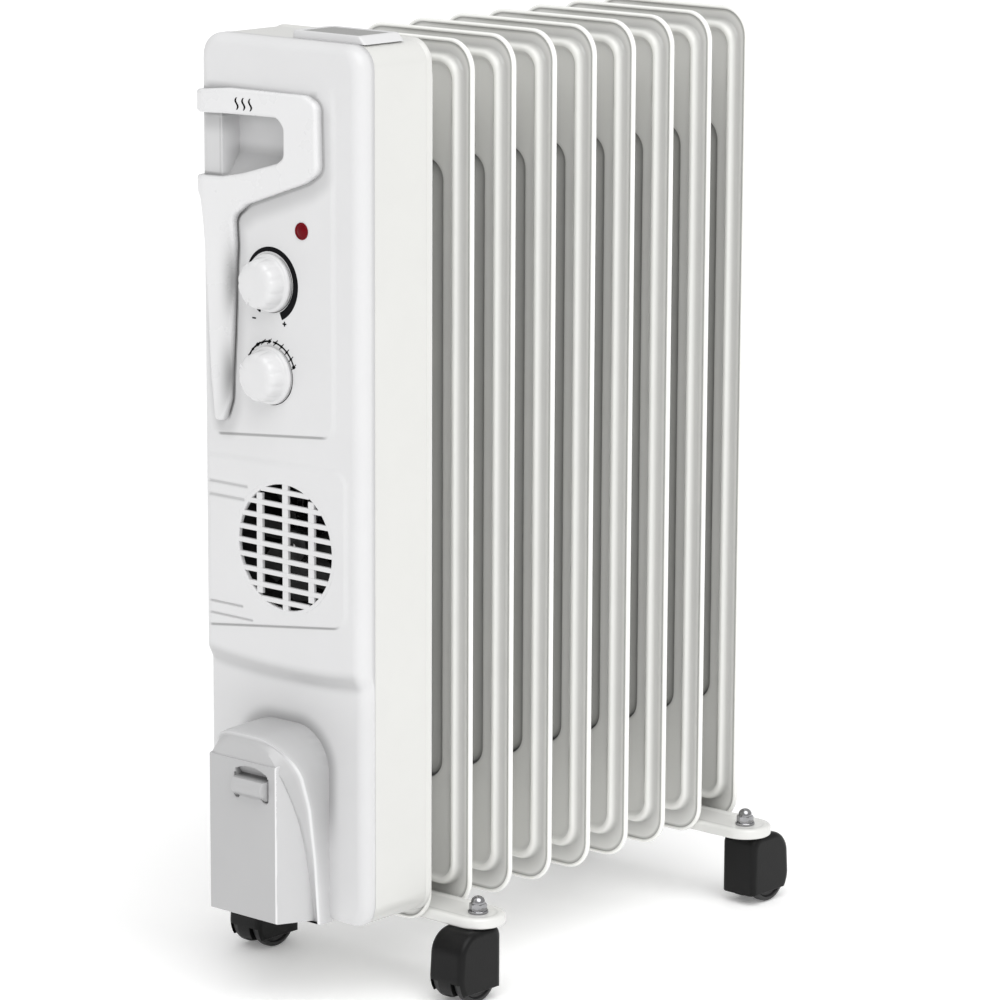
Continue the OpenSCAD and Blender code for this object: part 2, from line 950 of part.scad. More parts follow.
module caster_stems() {
    color("silver")
        for (p = STEMS)
            translate([p[0], p[1], 0]) {
                translate([0, 0, hood_top - 15])
                    cylinder(r = stem_r, h = 15.4);
                translate([0, 0, hood_top])
                    cylinder(r = stud_r, h = plate_z + stud_top - hood_top);
                translate([0, 0, hood_top + 0.4])
                    cylinder(r = stem_flange_r, h = stem_flange_z - hood_top - 0.4);
            }
}

washer_r = 6.8;
washer_t = 1.2;
nut_r = 6;
nut_h = 4.8;
dome_r = 4.8;

// Domed cap nuts on washers
module caster_nuts() {
    color("silver")
        for (p = STEMS)
            translate([p[0], p[1], plate_z])
                difference() {
                    union() {
                        cylinder(r = washer_r, h = washer_t);
                        translate([0, 0, washer_t])
                            cylinder(r = nut_r, h = nut_h, $fn = 6);
                        translate([0, 0, washer_t + nut_h])
                            intersection() {
                                sphere(r = dome_r);
                                cylinder(r = nut_r, h = nut_r);
                            }
                    }
                    translate([0, 0, -1])
                        cylinder(r = stud_r + snug, h = stud_top + 1.3);
                }
}

// Moves a caster from the swivel axis at the origin, trailing along -Y, to its place
module at_caster(k) {
    translate([STEMS[k][0], STEMS[k][1], 0])
        rotate([0, 0, k < 2 ? 0 : 180])
            children();
}

// Twin-wheel hood, with the stem's socket in the web between the wheels
module caster_hood(k) {
    color("black")
        at_caster(k)
            difference() {
                across(-hood_half_w, hood_half_w)
                    difference() {
                        union() {
                            hull() {
                                translate([-trail, wheel_r])
                                    circle(hood_r);
                                translate([-trail - hood_r + hood_bow + 1, hood_top - hood_bow])
                                    circle(hood_bow);
                                translate([0, wheel_r])
                                    square([hood_back, hood_top - wheel_r]);
                            }
                            translate([-trail, 6])
                                square([trail + hood_back, wheel_r]);
                        }
                        translate([-trail - 30, -10])
                            square([60, 17]);
                    }
                for (sx = [-1, 1])
                    across(sx > 0 ? web_half_w : -hood_half_w + skirt_t,
                        sx > 0 ? hood_half_w - skirt_t : -web_half_w)
                        union() {
                            translate([-trail, wheel_r])
                                circle(well_r);
                            translate([-trail - 30, -2])
                                square([30, wheel_r]);
                            translate([-trail - 1, -2])
                                square([trail + 4, wheel_r - 4]);
                        }
                translate([0, 0, hood_top - 15.5])
                    cylinder(r = stem_r + running, h = 20);
                across(-hood_half_w - 1, hood_half_w + 1)
                    translate([-trail, wheel_r])
                        circle(axle_r + snug);
            }
}

module caster_axle(k) {
    color("silver")
        at_caster(k)
            across(-hood_half_w, hood_half_w)
                translate([-trail, wheel_r])
                    circle(axle_r);
}

module caster_wheels(k) {
    play = 0.4;
    color("dimgray")
        at_caster(k)
            for (sx = [-1, 1])
                across(sx > 0 ? web_half_w + play : -hood_half_w + skirt_t + play,
                    sx > 0 ? hood_half_w - skirt_t - play : -web_half_w - play)
                    translate([-trail, wheel_r])
                        difference() {
                            circle(wheel_r);
                            circle(axle_r + running);
                        }
}

for (i = [0:fin_count - 1])
    fin(i);
for (k = [0:3]) {
    caster_hood(k);
    caster_axle(k);
    caster_wheels(k);
}
header_collars();
header_caps();
oil_filler_plug();
oil_charge();
heating_elements();
element_flange();
element_gasket();
heat_shield();
side_casing();
top_vent_cover();
front_cover();
handle();
fan_grille();
fan_housing();
fan_motor();
fan_shaft();
fan_impeller();
ptc_heater();
thermostat();
thermostat_shaft();
thermostat_knob();
selector_switch();
selector_shaft();
selector_knob();
power_lamp();
thermal_cutout();
terminal_block();
wiring_harness();
tip_over_switch();
tip_over_pendulum();
cord_gland();
cord_winder();
caster_bracket(front_stem_y);  // front_caster_bracket
caster_bracket(rear_stem_y);  // rear_caster_bracket
bracket_u_bolts();
bracket_wing_nuts();
caster_stems();
caster_nuts();
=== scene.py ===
"""Oil filled radiator heater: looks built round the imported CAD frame. Lengths are mm until a mesh is made."""
import json
import math

import bmesh
import bpy
import numpy as np
from mathutils import Matrix, Vector


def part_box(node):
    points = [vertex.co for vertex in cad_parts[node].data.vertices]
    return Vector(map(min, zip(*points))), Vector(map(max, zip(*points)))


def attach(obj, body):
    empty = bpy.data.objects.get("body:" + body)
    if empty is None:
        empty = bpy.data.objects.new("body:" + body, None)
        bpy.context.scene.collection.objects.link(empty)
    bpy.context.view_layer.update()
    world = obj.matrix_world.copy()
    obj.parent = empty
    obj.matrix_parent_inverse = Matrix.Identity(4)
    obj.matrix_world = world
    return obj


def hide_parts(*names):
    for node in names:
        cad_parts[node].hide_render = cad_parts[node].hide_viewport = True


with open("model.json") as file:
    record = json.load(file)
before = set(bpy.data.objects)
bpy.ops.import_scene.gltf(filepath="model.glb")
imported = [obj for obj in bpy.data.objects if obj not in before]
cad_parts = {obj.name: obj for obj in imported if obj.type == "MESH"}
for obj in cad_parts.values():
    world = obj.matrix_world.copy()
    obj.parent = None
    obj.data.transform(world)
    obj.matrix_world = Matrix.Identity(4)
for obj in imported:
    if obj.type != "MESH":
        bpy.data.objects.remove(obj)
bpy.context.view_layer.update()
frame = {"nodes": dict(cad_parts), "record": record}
scene = bpy.context.scene
MM = 0.001
ROOT = "radiator"
CORNERS = ("front_right", "front_left", "rear_right", "rear_left")


def box_mm(node):
    lo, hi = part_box(node)
    return lo / MM, hi / MM


def centre_mm(node):
    return tuple((a + b) / 2 for a, b in zip(*box_mm(node)))


# ---- camera ----

cam_data = bpy.data.cameras.new("camera")
camera = bpy.data.objects.new("camera", cam_data)
scene.collection.objects.link(camera)
scene.camera = camera
CAM_PLACE = Vector((2.00668, -2.25751, 0.94604))
CAM_RIGHT = Vector((0.75154307, 0.65966944, 0.00438696))
CAM_UP = Vector((-0.13987035, 0.15284447, 0.97830203))
cam_data.sensor_width = 36.0
cam_data.lens = 164.62
cam_data.clip_start, cam_data.clip_end = 0.1, 50.0
turn = Matrix((CAM_RIGHT, CAM_UP, CAM_RIGHT.cross(CAM_UP))).transposed()
camera.matrix_world = Matrix.Translation(CAM_PLACE) @ turn.to_4x4()

# ---- materials ----

COAT_ROUGHNESS = 0.08
ROUGHNESS_SPREAD = 0.05
BUMP_DEPTH = 0.0004  # metres


def material(name, color, rough, metal=0.0, vary=0.025, scale=35.0, bump=0.0, bump_scale=300.0,
             shade=False, stretch=(1, 1, 1), coat=0.0, ior=1.5):
    """A principled material whose colour, roughness and bump come from noise in object space; with shade, its
    colour is also multiplied by each vertex's painted shade and painted highlight.
    """
    m = bpy.data.materials.new(name)
    m.use_nodes = True
    tree = m.node_tree
    tree.nodes.clear()
    new, link = tree.nodes.new, tree.links.new
    out, bsdf = new("ShaderNodeOutputMaterial"), new("ShaderNodeBsdfPrincipled")
    link(bsdf.outputs["BSDF"], out.inputs["Surface"])
    bsdf.inputs["Metallic"].default_value = metal
    bsdf.inputs["IOR"].default_value = ior
    bsdf.inputs["Coat Weight"].default_value = coat
    bsdf.inputs["Coat Roughness"].default_value = COAT_ROUGHNESS
    place, spread = new("ShaderNodeTexCoord"), new("ShaderNodeMapping")
    spread.inputs["Scale"].default_value = stretch
    link(place.outputs["Object"], spread.inputs["Vector"])
    noise = new("ShaderNodeTexNoise")
    noise.inputs["Scale"].default_value = scale
    noise.inputs["Detail"].default_value = 4
    link(spread.outputs["Vector"], noise.inputs["Vector"])
    tint = new("ShaderNodeMix")
    tint.data_type = "RGBA"
    tint.inputs[6].default_value = (*[min(1, c * (1 - vary)) for c in color], 1)
    tint.inputs[7].default_value = (*[min(1, c * (1 + vary)) for c in color], 1)
    link(noise.outputs["Fac"], tint.inputs[0])
    result = tint.outputs[2]
    if shade:
        # The vertices' shade attribute is painted light: below 1 painted shade, above 1 painted highlight
        painted_light, times = new("ShaderNodeAttribute"), new("ShaderNodeMix")
        painted_light.attribute_name = "shade"
        times.data_type, times.blend_type = "RGBA", "MULTIPLY"
        times.inputs[0].default_value = 1
        link(result, times.inputs[6])
        link(painted_light.outputs["Color"], times.inputs[7])
        result = times.outputs[2]
    link(result, bsdf.inputs["Base Color"])
    level = new("ShaderNodeMapRange")
    level.inputs["To Min"].default_value = max(0.02, rough - ROUGHNESS_SPREAD)
    level.inputs["To Max"].default_value = rough + ROUGHNESS_SPREAD
    link(noise.outputs["Fac"], level.inputs["Value"])
    link(level.outputs["Result"], bsdf.inputs["Roughness"])
    if bump:
        grain, lift = new("ShaderNodeTexNoise"), new("ShaderNodeBump")
        grain.inputs["Scale"].default_value = bump_scale
        grain.inputs["Detail"].default_value = 3
        link(spread.outputs["Vector"], grain.inputs["Vector"])
        lift.inputs["Strength"].default_value = bump
        lift.inputs["Distance"].default_value = BUMP_DEPTH
        link(grain.outputs["Fac"], lift.inputs["Height"])
        link(lift.outputs["Normal"], bsdf.inputs["Normal"])
    return m


BRUSHED = (1, 1, 14)
MATS = {
    "enamel": material("enamel_white", (0.78, 0.78, 0.755), 0.24, coat=0.35, bump=0.05, bump_scale=130,
                       shade=True),
    "bracket_enamel": material("enamel_bracket", (0.74, 0.74, 0.72), 0.25, coat=0.3, bump=0.06,
                               bump_scale=150),
    "casing_enamel": material("enamel_casing", (0.69, 0.69, 0.668), 0.30, coat=0.25, bump=0.06,
                              bump_scale=160),
    "cover_plastic": material("plastic_cover", (0.70, 0.70, 0.705), 0.36, bump=0.06, bump_scale=500,
                              shade=True),
    "handle_plastic": material("plastic_handle", (0.72, 0.72, 0.725), 0.28, bump=0.05, bump_scale=500,
                               shade=True),
    "knob_plastic": material("plastic_knob", (0.70, 0.70, 0.705), 0.25, bump=0.04, bump_scale=500, coat=0.2),
    "vent_plastic": material("plastic_vent", (0.33, 0.33, 0.325), 0.45, bump=0.1, bump_scale=600),
    "lamp_red": material("lens_red", (0.15, 0.0012, 0.006), 0.25, vary=0.3, scale=260, bump=0.1,
                         bump_scale=260, ior=1.2),
    "caster_black": material("plastic_caster", (0.004, 0.004, 0.0042), 0.36, ior=1.3, vary=0.15, bump=0.15,
                             bump_scale=700),
    "wheel_black": material("nylon_wheel", (0.012, 0.012, 0.0125), 0.5, vary=0.15, bump=0.2, bump_scale=600),
    "zinc": material("steel_zinc", (0.66, 0.66, 0.65), 0.32, metal=1.0, vary=0.08, bump=0.08,
                     stretch=BRUSHED),
    "bright_nut": material("steel_bright", (0.34, 0.34, 0.35), 0.12, metal=1.0, vary=0.3, scale=160,
                           bump=0.03),
    "brass": material("brass_plain", (0.72, 0.52, 0.22), 0.3, metal=1.0, vary=0.08, bump=0.06),
    "element_steel": material("steel_tube", (0.46, 0.45, 0.43), 0.4, metal=1.0, vary=0.1, bump=0.1,
                              stretch=BRUSHED),
    "shield_steel": material("steel_galvanised", (0.62, 0.63, 0.64), 0.42, metal=1.0, vary=0.16, scale=80,
                             bump=0.1),
    "gasket_rubber": material("rubber_gasket", (0.05, 0.05, 0.05), 0.7, bump=0.3),
    "oil": material("oil_amber", (0.55, 0.33, 0.07), 0.2, vary=0.05),
    "duct_plastic": material("plastic_duct", (0.018, 0.018, 0.018), 0.5, vary=0.15, bump=0.2, bump_scale=500),
    "motor_steel": material("steel_motor", (0.40, 0.40, 0.41), 0.4, metal=1.0, vary=0.1, bump=0.1),
    "ceramic_block": material("aluminium_block", (0.42, 0.41, 0.40), 0.45, metal=1.0, vary=0.1, bump=0.1),
    "control_resin": material("resin_control", (0.14, 0.12, 0.10), 0.55, vary=0.1, bump=0.15),
    "wire_red": material("silicone_wire", (0.36, 0.03, 0.025), 0.45, vary=0.08, bump=0.08),
    "gland_black": material("plastic_gland", (0.03, 0.03, 0.03), 0.5, vary=0.12, bump=0.2),
}
# Black ink for print, also used for the painted shadow round the knobs' discs
INK_AND_SHADOW = material("ink_and_shadow_black", (0.006, 0.006, 0.007), 0.6, vary=0.2, scale=900, ior=1.15)

# ---- mesh helpers ----


class Shape:
    """Vertices and faces in mm, with a shade value for each vertex."""

    def __init__(self):
        self.verts, self.faces, self.shade = [], [], []

    def add(self, verts, faces, shade=None):
        base = len(self.verts)
        self.verts += [tuple(v) for v in verts]
        self.faces += [tuple(i + base for i in f) for f in faces]
        self.shade += list(shade) if shade is not None else [1.0] * len(verts)
        return self

    def loft(self, rings, caps=(True, True), shade=None, loop=False):
        n = len(rings[0])
        verts = [p for r in rings for p in r]
        faces = []
        pairs = list(zip(range(len(rings) - 1), range(1, len(rings))))
        if loop:
            pairs.append((len(rings) - 1, 0))
        for a, b in pairs:
            for i in range(n):
                j = (i + 1) % n
                faces.append((a * n + i, a * n + j, b * n + j, b * n + i))
        if not loop and caps[0]:
            faces.append(tuple(reversed(range(n))))
        if not loop and caps[1]:
            faces.append(tuple(range((len(rings) - 1) * n, len(rings) * n)))
        tone = [shade[k] for k in range(len(rings)) for _ in range(n)] if shade else None
        return self.add(verts, faces, tone)

    def grid(self, points, shade, skip=None):
        rows, cols = points.shape[:2]
        faces = [(r * cols + c, r * cols + c + 1, (r + 1) * cols + c + 1, (r + 1) * cols + c)
                 for r in range(rows - 1) for c in range(cols - 1) if skip is None or not skip[r, c]]
        return self.add(points.reshape(-1, 3).tolist(), faces, shade.reshape(-1).tolist())

    def mesh(self, name):
        me = bpy.data.meshes.new(name)
        me.from_pydata([tuple(c * MM for c in v) for v in self.verts], [], self.faces)
        tone = me.color_attributes.new("shade", "FLOAT_COLOR", "POINT")
        tone.data.foreach_set("color", [c for s in self.shade for c in (s, s, s, 1.0)])
        bm = bmesh.new()
        bm.from_mesh(me)
        loose = [v for v in bm.verts if not v.link_faces]
        bmesh.ops.delete(bm, geom=loose, context="VERTS")
        bmesh.ops.recalc_face_normals(bm, faces=bm.faces)
        bm.to_mesh(me)
        bm.free()
        return me


def add_box(shape, x0, x1, y0, y1, z0, z1):
    return shape.loft([[(x0, y, z0), (x1, y, z0), (x1, y, z1), (x0, y, z1)] for y in (y0, y1)])


def place(me, name, mat, body, replaced=(), sharp=40, weighted=True):
    """Makes a piece of a mesh: smooth shading, material, body and the CAD nodes it stands for."""
    ob = bpy.data.objects.new(name, me)
    scene.collection.objects.link(ob)
    me.materials.clear()
    me.materials.append(MATS[mat] if isinstance(mat, str) else mat)
    me.polygons.foreach_set("use_smooth", [True] * len(me.polygons))
    me.set_sharp_from_angle(angle=math.radians(sharp))
    if weighted:
        mod = ob.modifiers.new("weighted", "WEIGHTED_NORMAL")
        mod.keep_sharp = True
    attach(ob, body)
    if replaced:
        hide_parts(*replaced)
    return ob


def piece(shape, name, mat, body, replaced=(), **more):
    return place(shape.mesh(name), name, mat, body, replaced, **more)


def applied(ob):
    """The object's mesh with its modifiers applied."""
    graph = bpy.context.evaluated_depsgraph_get()
    me = bpy.data.meshes.new_from_object(ob.evaluated_get(graph))
    bpy.data.objects.remove(ob)
    return me


def scratch(me):
    ob = bpy.data.objects.new("scratch", me)
    scene.collection.objects.link(ob)
    return ob


def cut(me, shape):
    """The mesh with a closed shape cut out of it."""
    ob, tool = scratch(me), scratch(shape.mesh("tool"))
    mod = ob.modifiers.new("cut", "BOOLEAN")
    mod.operation, mod.solver, mod.object = "DIFFERENCE", "EXACT", tool
    result = applied(ob)
    bpy.data.objects.remove(tool)
    return result


def arc(cx, cz, r, a0, a1, n):
    """n + 1 points of an arc, degrees from +X towards +Z."""
    return [(cx + r * math.cos(math.radians(a0 + (a1 - a0) * i / n)),
             cz + r * math.sin(math.radians(a0 + (a1 - a0) * i / n))) for i in range(n + 1)]


def round_rect(hw, z0, z1, r, n=10):
    """Points of a rectangle with round corners about X = 0."""
    r = max(r, 0.2)
    return (arc(hw - r, z1 - r, r, 0, 90, n) + arc(-hw + r, z1 - r, r, 90, 180, n)
            + arc(-hw + r, z0 + r, r, 180, 270, n) + arc(hw - r, z0 + r, r, 270, 360, n))


def round_polygon(points, n=6):
    """Rounds the corners of a polygon given as (x, z, radius)."""
    result = []
    count = len(points)
    for i, (x, z, r) in enumerate(points):
        p = Vector((x, z))
        before, after = Vector(points[i - 1][:2]) - p, Vector(points[(i + 1) % count][:2]) - p
        half = before.angle(after) / 2
        reach = min(r / math.tan(half), 0.48 * before.length, 0.48 * after.length)
        a, b = p + before.normalized() * reach, p + after.normalized() * reach
        for k in range(n + 1):
            t = k / n
            result.append(tuple(a * (1 - t) ** 2 + p * 2 * t * (1 - t) + b * t ** 2))
    return result


def rectangle(cx, cz, hw, hh):
    return [(cx - hw, cz - hh), (cx + hw, cz - hh), (cx + hw, cz + hh), (cx - hw, cz + hh)]


def stadium(half, r, n=16):
    return arc(half, 0, r, -90, 90, n) + arc(-half, 0, r, 90, 270, n)


def revolve(profile, centre, axis, n=48, wave=None):
    """Rings about an axis, from (radius, distance along it) pairs; wave changes a radius by angle."""
    rings = []
    for k, (r, d) in enumerate(profile):
        ring = []
        for i in range(n):
            a = 2 * math.pi * i / n
            radius = r + (wave(a, k) if wave else 0)
            c, s = radius * math.cos(a), radius * math.sin(a)
            offset = {"x": (d, c, s), "y": (c, d, s), "z": (c, s, d)}[axis]
            ring.append(tuple(centre[j] + offset[j] for j in range(3)))
        rings.append(ring)
    return rings


def welded(me, fill=False, to_front=False):
    """The mesh with its doubled vertices merged and its faces turned outward, or all to the front."""
    bm = bmesh.new()
    bm.from_mesh(me)
    bmesh.ops.remove_doubles(bm, verts=bm.verts, dist=1e-6)
    if fill:
        bmesh.ops.holes_fill(bm, edges=[e for e in bm.edges if e.is_boundary], sides=0)
    bmesh.ops.recalc_face_normals(bm, faces=bm.faces)
    if to_front and sum(f.normal.y for f in bm.faces) > 0:
        bmesh.ops.reverse_faces(bm, faces=bm.faces)
    bm.to_mesh(me)
    bm.free()
    return me


def grid_border(points):
    """The outer points of a grid, in order round it."""
    rows, cols = points.shape[:2]
    order = ([(0, c) for c in range(cols)] + [(r, cols - 1) for r in range(1, rows)]
             + [(rows - 1, c) for c in range(cols - 2, -1, -1)] + [(r, 0) for r in range(rows - 2, 0, -1)])
    return [tuple(map(float, points[r, c])) for r, c in order]


def plate(outline, y0, y1, e, name="plate"):
    """A flat plate of an (x, z) outline, between two planes of Y, with edges rounded by e."""
    curve = bpy.data.curves.new(name, "CURVE")
    curve.dimensions, curve.fill_mode = "2D", "BOTH"
    spline = curve.splines.new("POLY")
    spline.points.add(len(outline) - 1)
    for q, (x, z) in zip(spline.points, outline):
        q.co = (x * MM, z * MM, 0, 1)
    spline.use_cyclic_u = True
    curve.extrude = ((y1 - y0) / 2 - e) * MM
    curve.bevel_depth, curve.bevel_resolution, curve.offset = e * MM, 3, -e * MM
    ob = bpy.data.objects.new(name, curve)
    scene.collection.objects.link(ob)
    me = applied(ob)
    me.transform(Matrix(((1, 0, 0, 0), (0, 0, -1, (y0 + y1) / 2 * MM), (0, 1, 0, 0), (0, 0, 0, 1))))
    return welded(me)


def joined(meshes, name):
    bm = bmesh.new()
    for me in meshes:
        bm.from_mesh(me)
    result = bpy.data.meshes.new(name)
    bm.to_mesh(result)
    bm.free()
    return result


def smoothstep(t):
    t = np.clip(t, 0, 1)
    return t * t * (3 - 2 * t)


def rect_inside(x, z, x0, x1, z0, z1, r):
    """How far points lie inside a rectangle with round corners; negative outside."""
    qx = np.abs(x - (x0 + x1) / 2) - ((x1 - x0) / 2 - r)
    qz = np.abs(z - (z0 + z1) / 2) - ((z1 - z0) / 2 - r)
    outside = np.hypot(np.maximum(qx, 0), np.maximum(qz, 0))
    return r - outside - np.minimum(np.maximum(qx, qz), 0)


# ---- fins and necks ----

fin_lo, fin_hi = box_mm("fin_1")
FIN_HW, FIN_Z0, FIN_Z1 = fin_hi.x, fin_lo.z, fin_hi.z
FIN_COUNT = 9
NECK_R = 20  # between its flanges
FLANGE_R = 25
FLANGE_Y = 4.4  # from the fin's middle to the flange


def fin_outline(inset):
    return round_rect(FIN_HW - inset, FIN_Z0 + inset, FIN_Z1 - inset, 20 - 0.8 * inset)


def bead_outline(inset):
    return round_rect(FIN_HW - 7 - inset, FIN_Z0 + 14 + inset, FIN_Z1 - 9 - inset, 16 - 0.7 * inset)


def window_outline(inset):
    return round_rect(45 - inset, FIN_Z0 + 87 + inset, FIN_Z1 - 79 - inset, 14 - inset)


# Outline, half thickness and tone of each ring, from the rim to the window's middle
# The tone is painted light: painted highlight on the rim and the bead's crest, painted shade in the groove
# inside the rim, at the bead's foot and across the sunk window
FIN_PROFILE = (
    [(fin_outline(i), h, s) for i, h, s in (
        (0.0, 0.0, 1.2), (0.15, 0.9, 1.2), (0.6, 1.6, 1.2), (1.1, 2.0, 1.2), (1.7, 2.0, 1.15),
        (2.2, 1.6, 0.95), (2.6, 1.0, 0.40), (3.0, 0.8, 0.62), (4.6, 0.8, 0.93))]
    + [(bead_outline(i), h, s) for i, h, s in (
        (-0.3, 0.9, 0.64), (0.3, 1.6, 0.60), (0.8, 3.4, 0.66), (1.3, 5.3, 0.80), (2.0, 6.7, 1.0),
        (3.0, 7.4, 1.18), (4.2, 7.5, 1.2), (5.4, 7.1, 1.12), (6.2, 6.3, 0.96), (7.0, 5.4, 0.88),
        (7.9, 4.8, 0.85), (9.2, 4.5, 0.9))]
    + [(window_outline(i), h, s) for i, h, s in (
        (-3.0, 4.5, 0.9), (-1.2, 4.5, 0.82), (-0.4, 4.2, 0.36), (0.0, 3.2, 0.08), (0.4, 1.2, 0.06),
        (1.1, 0.8, 0.10), (2.4, 0.8, 0.42), (4.5, 0.8, 0.62), (10.0, 0.8, 0.74))]
)


def fin_shape():
    shape = Shape()
    rings, tones = [], []
    for side in (1, -1):
        half = [([(x, side * h, z) for x, z in o], s) for o, h, s in FIN_PROFILE]
        if side > 0:
            half.reverse()
        else:
            half = half[1:]
        rings += [r for r, _ in half]
        tones += [s for _, s in half]
    return shape.loft(rings, shade=tones)


fin_mesh = fin_shape().mesh("fin")
FIN_Y = [centre_mm(f"fin_{i}")[1] for i in range(1, FIN_COUNT + 1)]
for i, y in enumerate(FIN_Y, 1):
    me = fin_mesh.copy()
    me.transform(Matrix.Translation((0, y * MM, 0)))
    place(me, f"steel_fin_{i}", "enamel", ROOT, [f"fin_{i}"], sharp=60, weighted=False)

neck_lo, neck_hi = box_mm("header_collars")
HEADER_Z = (neck_lo.z + FLANGE_R, neck_hi.z - FLANGE_R)
necks = Shape()
for y, y_next in zip(FIN_Y, FIN_Y[1:]):
    a, b = y + FLANGE_Y, y_next - FLANGE_Y
    profile = [(14, a), (FLANGE_R, a), (24.2, a + 0.9), (21.6, a + 2.6), (20.3, a + 5), (NECK_R, a + 8),
               (NECK_R, b - 8), (20.3, b - 5), (21.6, b - 2.6), (24.2, b - 0.9), (FLANGE_R, b), (14, b)]
    for z in HEADER_Z:
        necks.loft(revolve(profile, (0, 0, z), "y", 40), loop=True)
        middle = (a + b) / 2
        weld = [(19.5, middle - 1.4), (20.7, middle - 0.8), (20.9, middle), (20.7, middle + 0.8),
                (19.5, middle + 1.4)]
        necks.loft(revolve(weld, (0, 0, z), "y", 40), loop=True)
piece(necks, "header_necks", "enamel", ROOT, ["header_collars"], sharp=50)

# The oil's skin, just inside the fins and the necks
charge = Shape()
OIL_PROFILE = [(bead_outline(i), h) for i, h in (
    (1.6, 0.5), (2.3, 4.2), (3.2, 6.0), (4.5, 6.5), (5.6, 5.9), (7.0, 4.3), (9.2, 3.6))]
OIL_PROFILE += [(window_outline(-3.0), 3.6), (window_outline(-1.7), 3.3), (window_outline(-1.4), 0.5)]
for y in FIN_Y:
    upper = [[(x, y + h, z) for x, z in o] for o, h in OIL_PROFILE]
    lower = [[(x, y - h, z) for x, z in o] for o, h in reversed(OIL_PROFILE)]
    charge.loft(upper + lower, loop=True)
for y, y_next in zip(FIN_Y, FIN_Y[1:]):
    for z in HEADER_Z:
        charge.loft(revolve([(13.6, y + 3.4), (13.6, y_next - 3.4)], (0, 0, z), "y", 40))
piece(charge, "oil_skin", "oil", ROOT, ["oil_charge"], sharp=60, weighted=False)

caps = Shape()
for z in HEADER_Z:
    y = FIN_Y[-1] + FLANGE_Y
    profile = [(19, y), (19, y + 2.2), (18.2, y + 3), (13, y + 3), (12, y + 2.2), (3, y + 2.2)]
    caps.loft(revolve(profile, (0, 0, z), "y"))
y = FIN_Y[0] - FLANGE_Y
profile = [(6.2, y), (19, y), (19, y - 2.2), (18.2, y - 3), (6.2, y - 3)]
caps.loft(revolve(profile, (0, 0, HEADER_Z[1]), "y"), loop=True)
piece(caps, "header_end_caps", "enamel", ROOT, ["header_caps"], sharp=40)

# ---- side casing and its top vent ----

cover_lo, cover_hi = box_mm("front_cover")
case_lo, case_hi = box_mm("side_casing")
vent_lo, vent_hi = box_mm("top_vent_cover")
CASE_Y0, CASE_Y1 = case_lo.y, case_hi.y
BEAD_OUT = 1.0
CASE_HW, CASE_Z0, CASE_Z1 = case_hi.x - BEAD_OUT, case_lo.z + BEAD_OUT, case_hi.z - BEAD_OUT
GLAND_R = 7.0


def case_ring(y, out):
    return [(x, y, z) for x, z in round_rect(CASE_HW + out, CASE_Z0 - out, CASE_Z1 + out, 15 + out, 12)]


case_rings = [case_ring(y, out) for y, out in (
    (CASE_Y0 + 0.4, -0.4), (CASE_Y0 + 1.4, 0), (CASE_Y1 - 5.4, 0), (CASE_Y1 - 4.4, -0.35),
    (CASE_Y1 - 3.6, 0.1), (CASE_Y1 - 3.0, 0.7), (CASE_Y1 - 2.1, 1.0), (CASE_Y1 - 1.0, 0.9),
    (CASE_Y1 - 0.2, 0.2), (CASE_Y1, -0.6), (CASE_Y1 - 0.4, -1.2), (CASE_Y1 - 4, -1.2),
    (CASE_Y0 + 0.4, -1.2))]
casing = Shape().loft(case_rings, loop=True).mesh("side_casing")
slots = Shape()
for x in range(0, 49, 12):
    outline = stadium(9, 3, 6)
    slots.loft([[(x + 3 + q, CASE_Y0 + 25 + p, z) for p, q in outline] for z in (CASE_Z0 - 6, CASE_Z0 + 6)])
for i in range(5):
    y = vent_lo.y + 5 + i * 6.2
    add_box(slots, vent_lo.x + 8, vent_lo.x + 50, y, y + 3, CASE_Z1 - 6, CASE_Z1 + 6)
gland_x, gland_y, _ = centre_mm("cord_gland")
slots.loft(revolve([(GLAND_R, CASE_Z0 - 6), (GLAND_R, CASE_Z0 + 6)], (gland_x, gland_y, 0), "z", 32))
place(cut(casing, slots), "side_casing_sheet", "casing_enamel", ROOT, ["side_casing"], sharp=35)

vent = Shape()
VX0, VX1, VY0, VY1, VZ0, VZ1 = vent_lo.x, vent_hi.x, vent_lo.y, vent_hi.y, vent_lo.z, vent_hi.z
outer = round_polygon([(VX0, VY0, 2.5), (VX1, VY0, 2.5), (VX1, VY1, 2.5), (VX0, VY1, 2.5)])


def vent_ring(inset, z, slope):
    """A ring of the vent's frame, whose right end leans inward with height."""
    ring = []
    cx, cy = (VX0 + VX1) / 2, (VY0 + VY1) / 2
    sx, sy = (VX1 - VX0) / 2, (VY1 - VY0) / 2
    for x, y in outer:
        px = cx + (x - cx) * (sx - inset) / sx
        py = cy + (y - cy) * (sy - inset) / sy
        lean = slope * max(0.0, (px - cx) / sx)
        ring.append((px - lean, py, z))
    return ring


vent.loft([vent_ring(0, VZ0 + 0.2, 0), vent_ring(0, VZ0 + 1, 0.6), vent_ring(0.1, VZ1 - 0.8, 4.2),
           vent_ring(0.4, VZ1 - 0.2, 4.7), vent_ring(1.0, VZ1, 5), vent_ring(2.6, VZ1, 5),
           vent_ring(3.0, VZ1 - 0.5, 5), vent_ring(3.0, VZ0 + 0.4, 2), vent_ring(2.0, VZ0 + 0.2, 0)],
          loop=True)
piece(vent, "vent_frame", "cover_plastic", ROOT, ["top_vent_cover"], sharp=35)
slats = Shape()
for i in range(10):
    y = VY0 + 4.2 + i * 3.1
    section = round_polygon([(y, VZ1 - 3.2, 0.5), (y + 2.1, VZ1 - 3.2, 0.5), (y + 2.6, VZ1 - 0.6, 0.5),
                             (y, VZ1 - 0.6, 0.6)], 3)
    slats.loft([[(x, p, q) for p, q in section] for x in (VX0 + 2.6, VX1 - 8.2)])
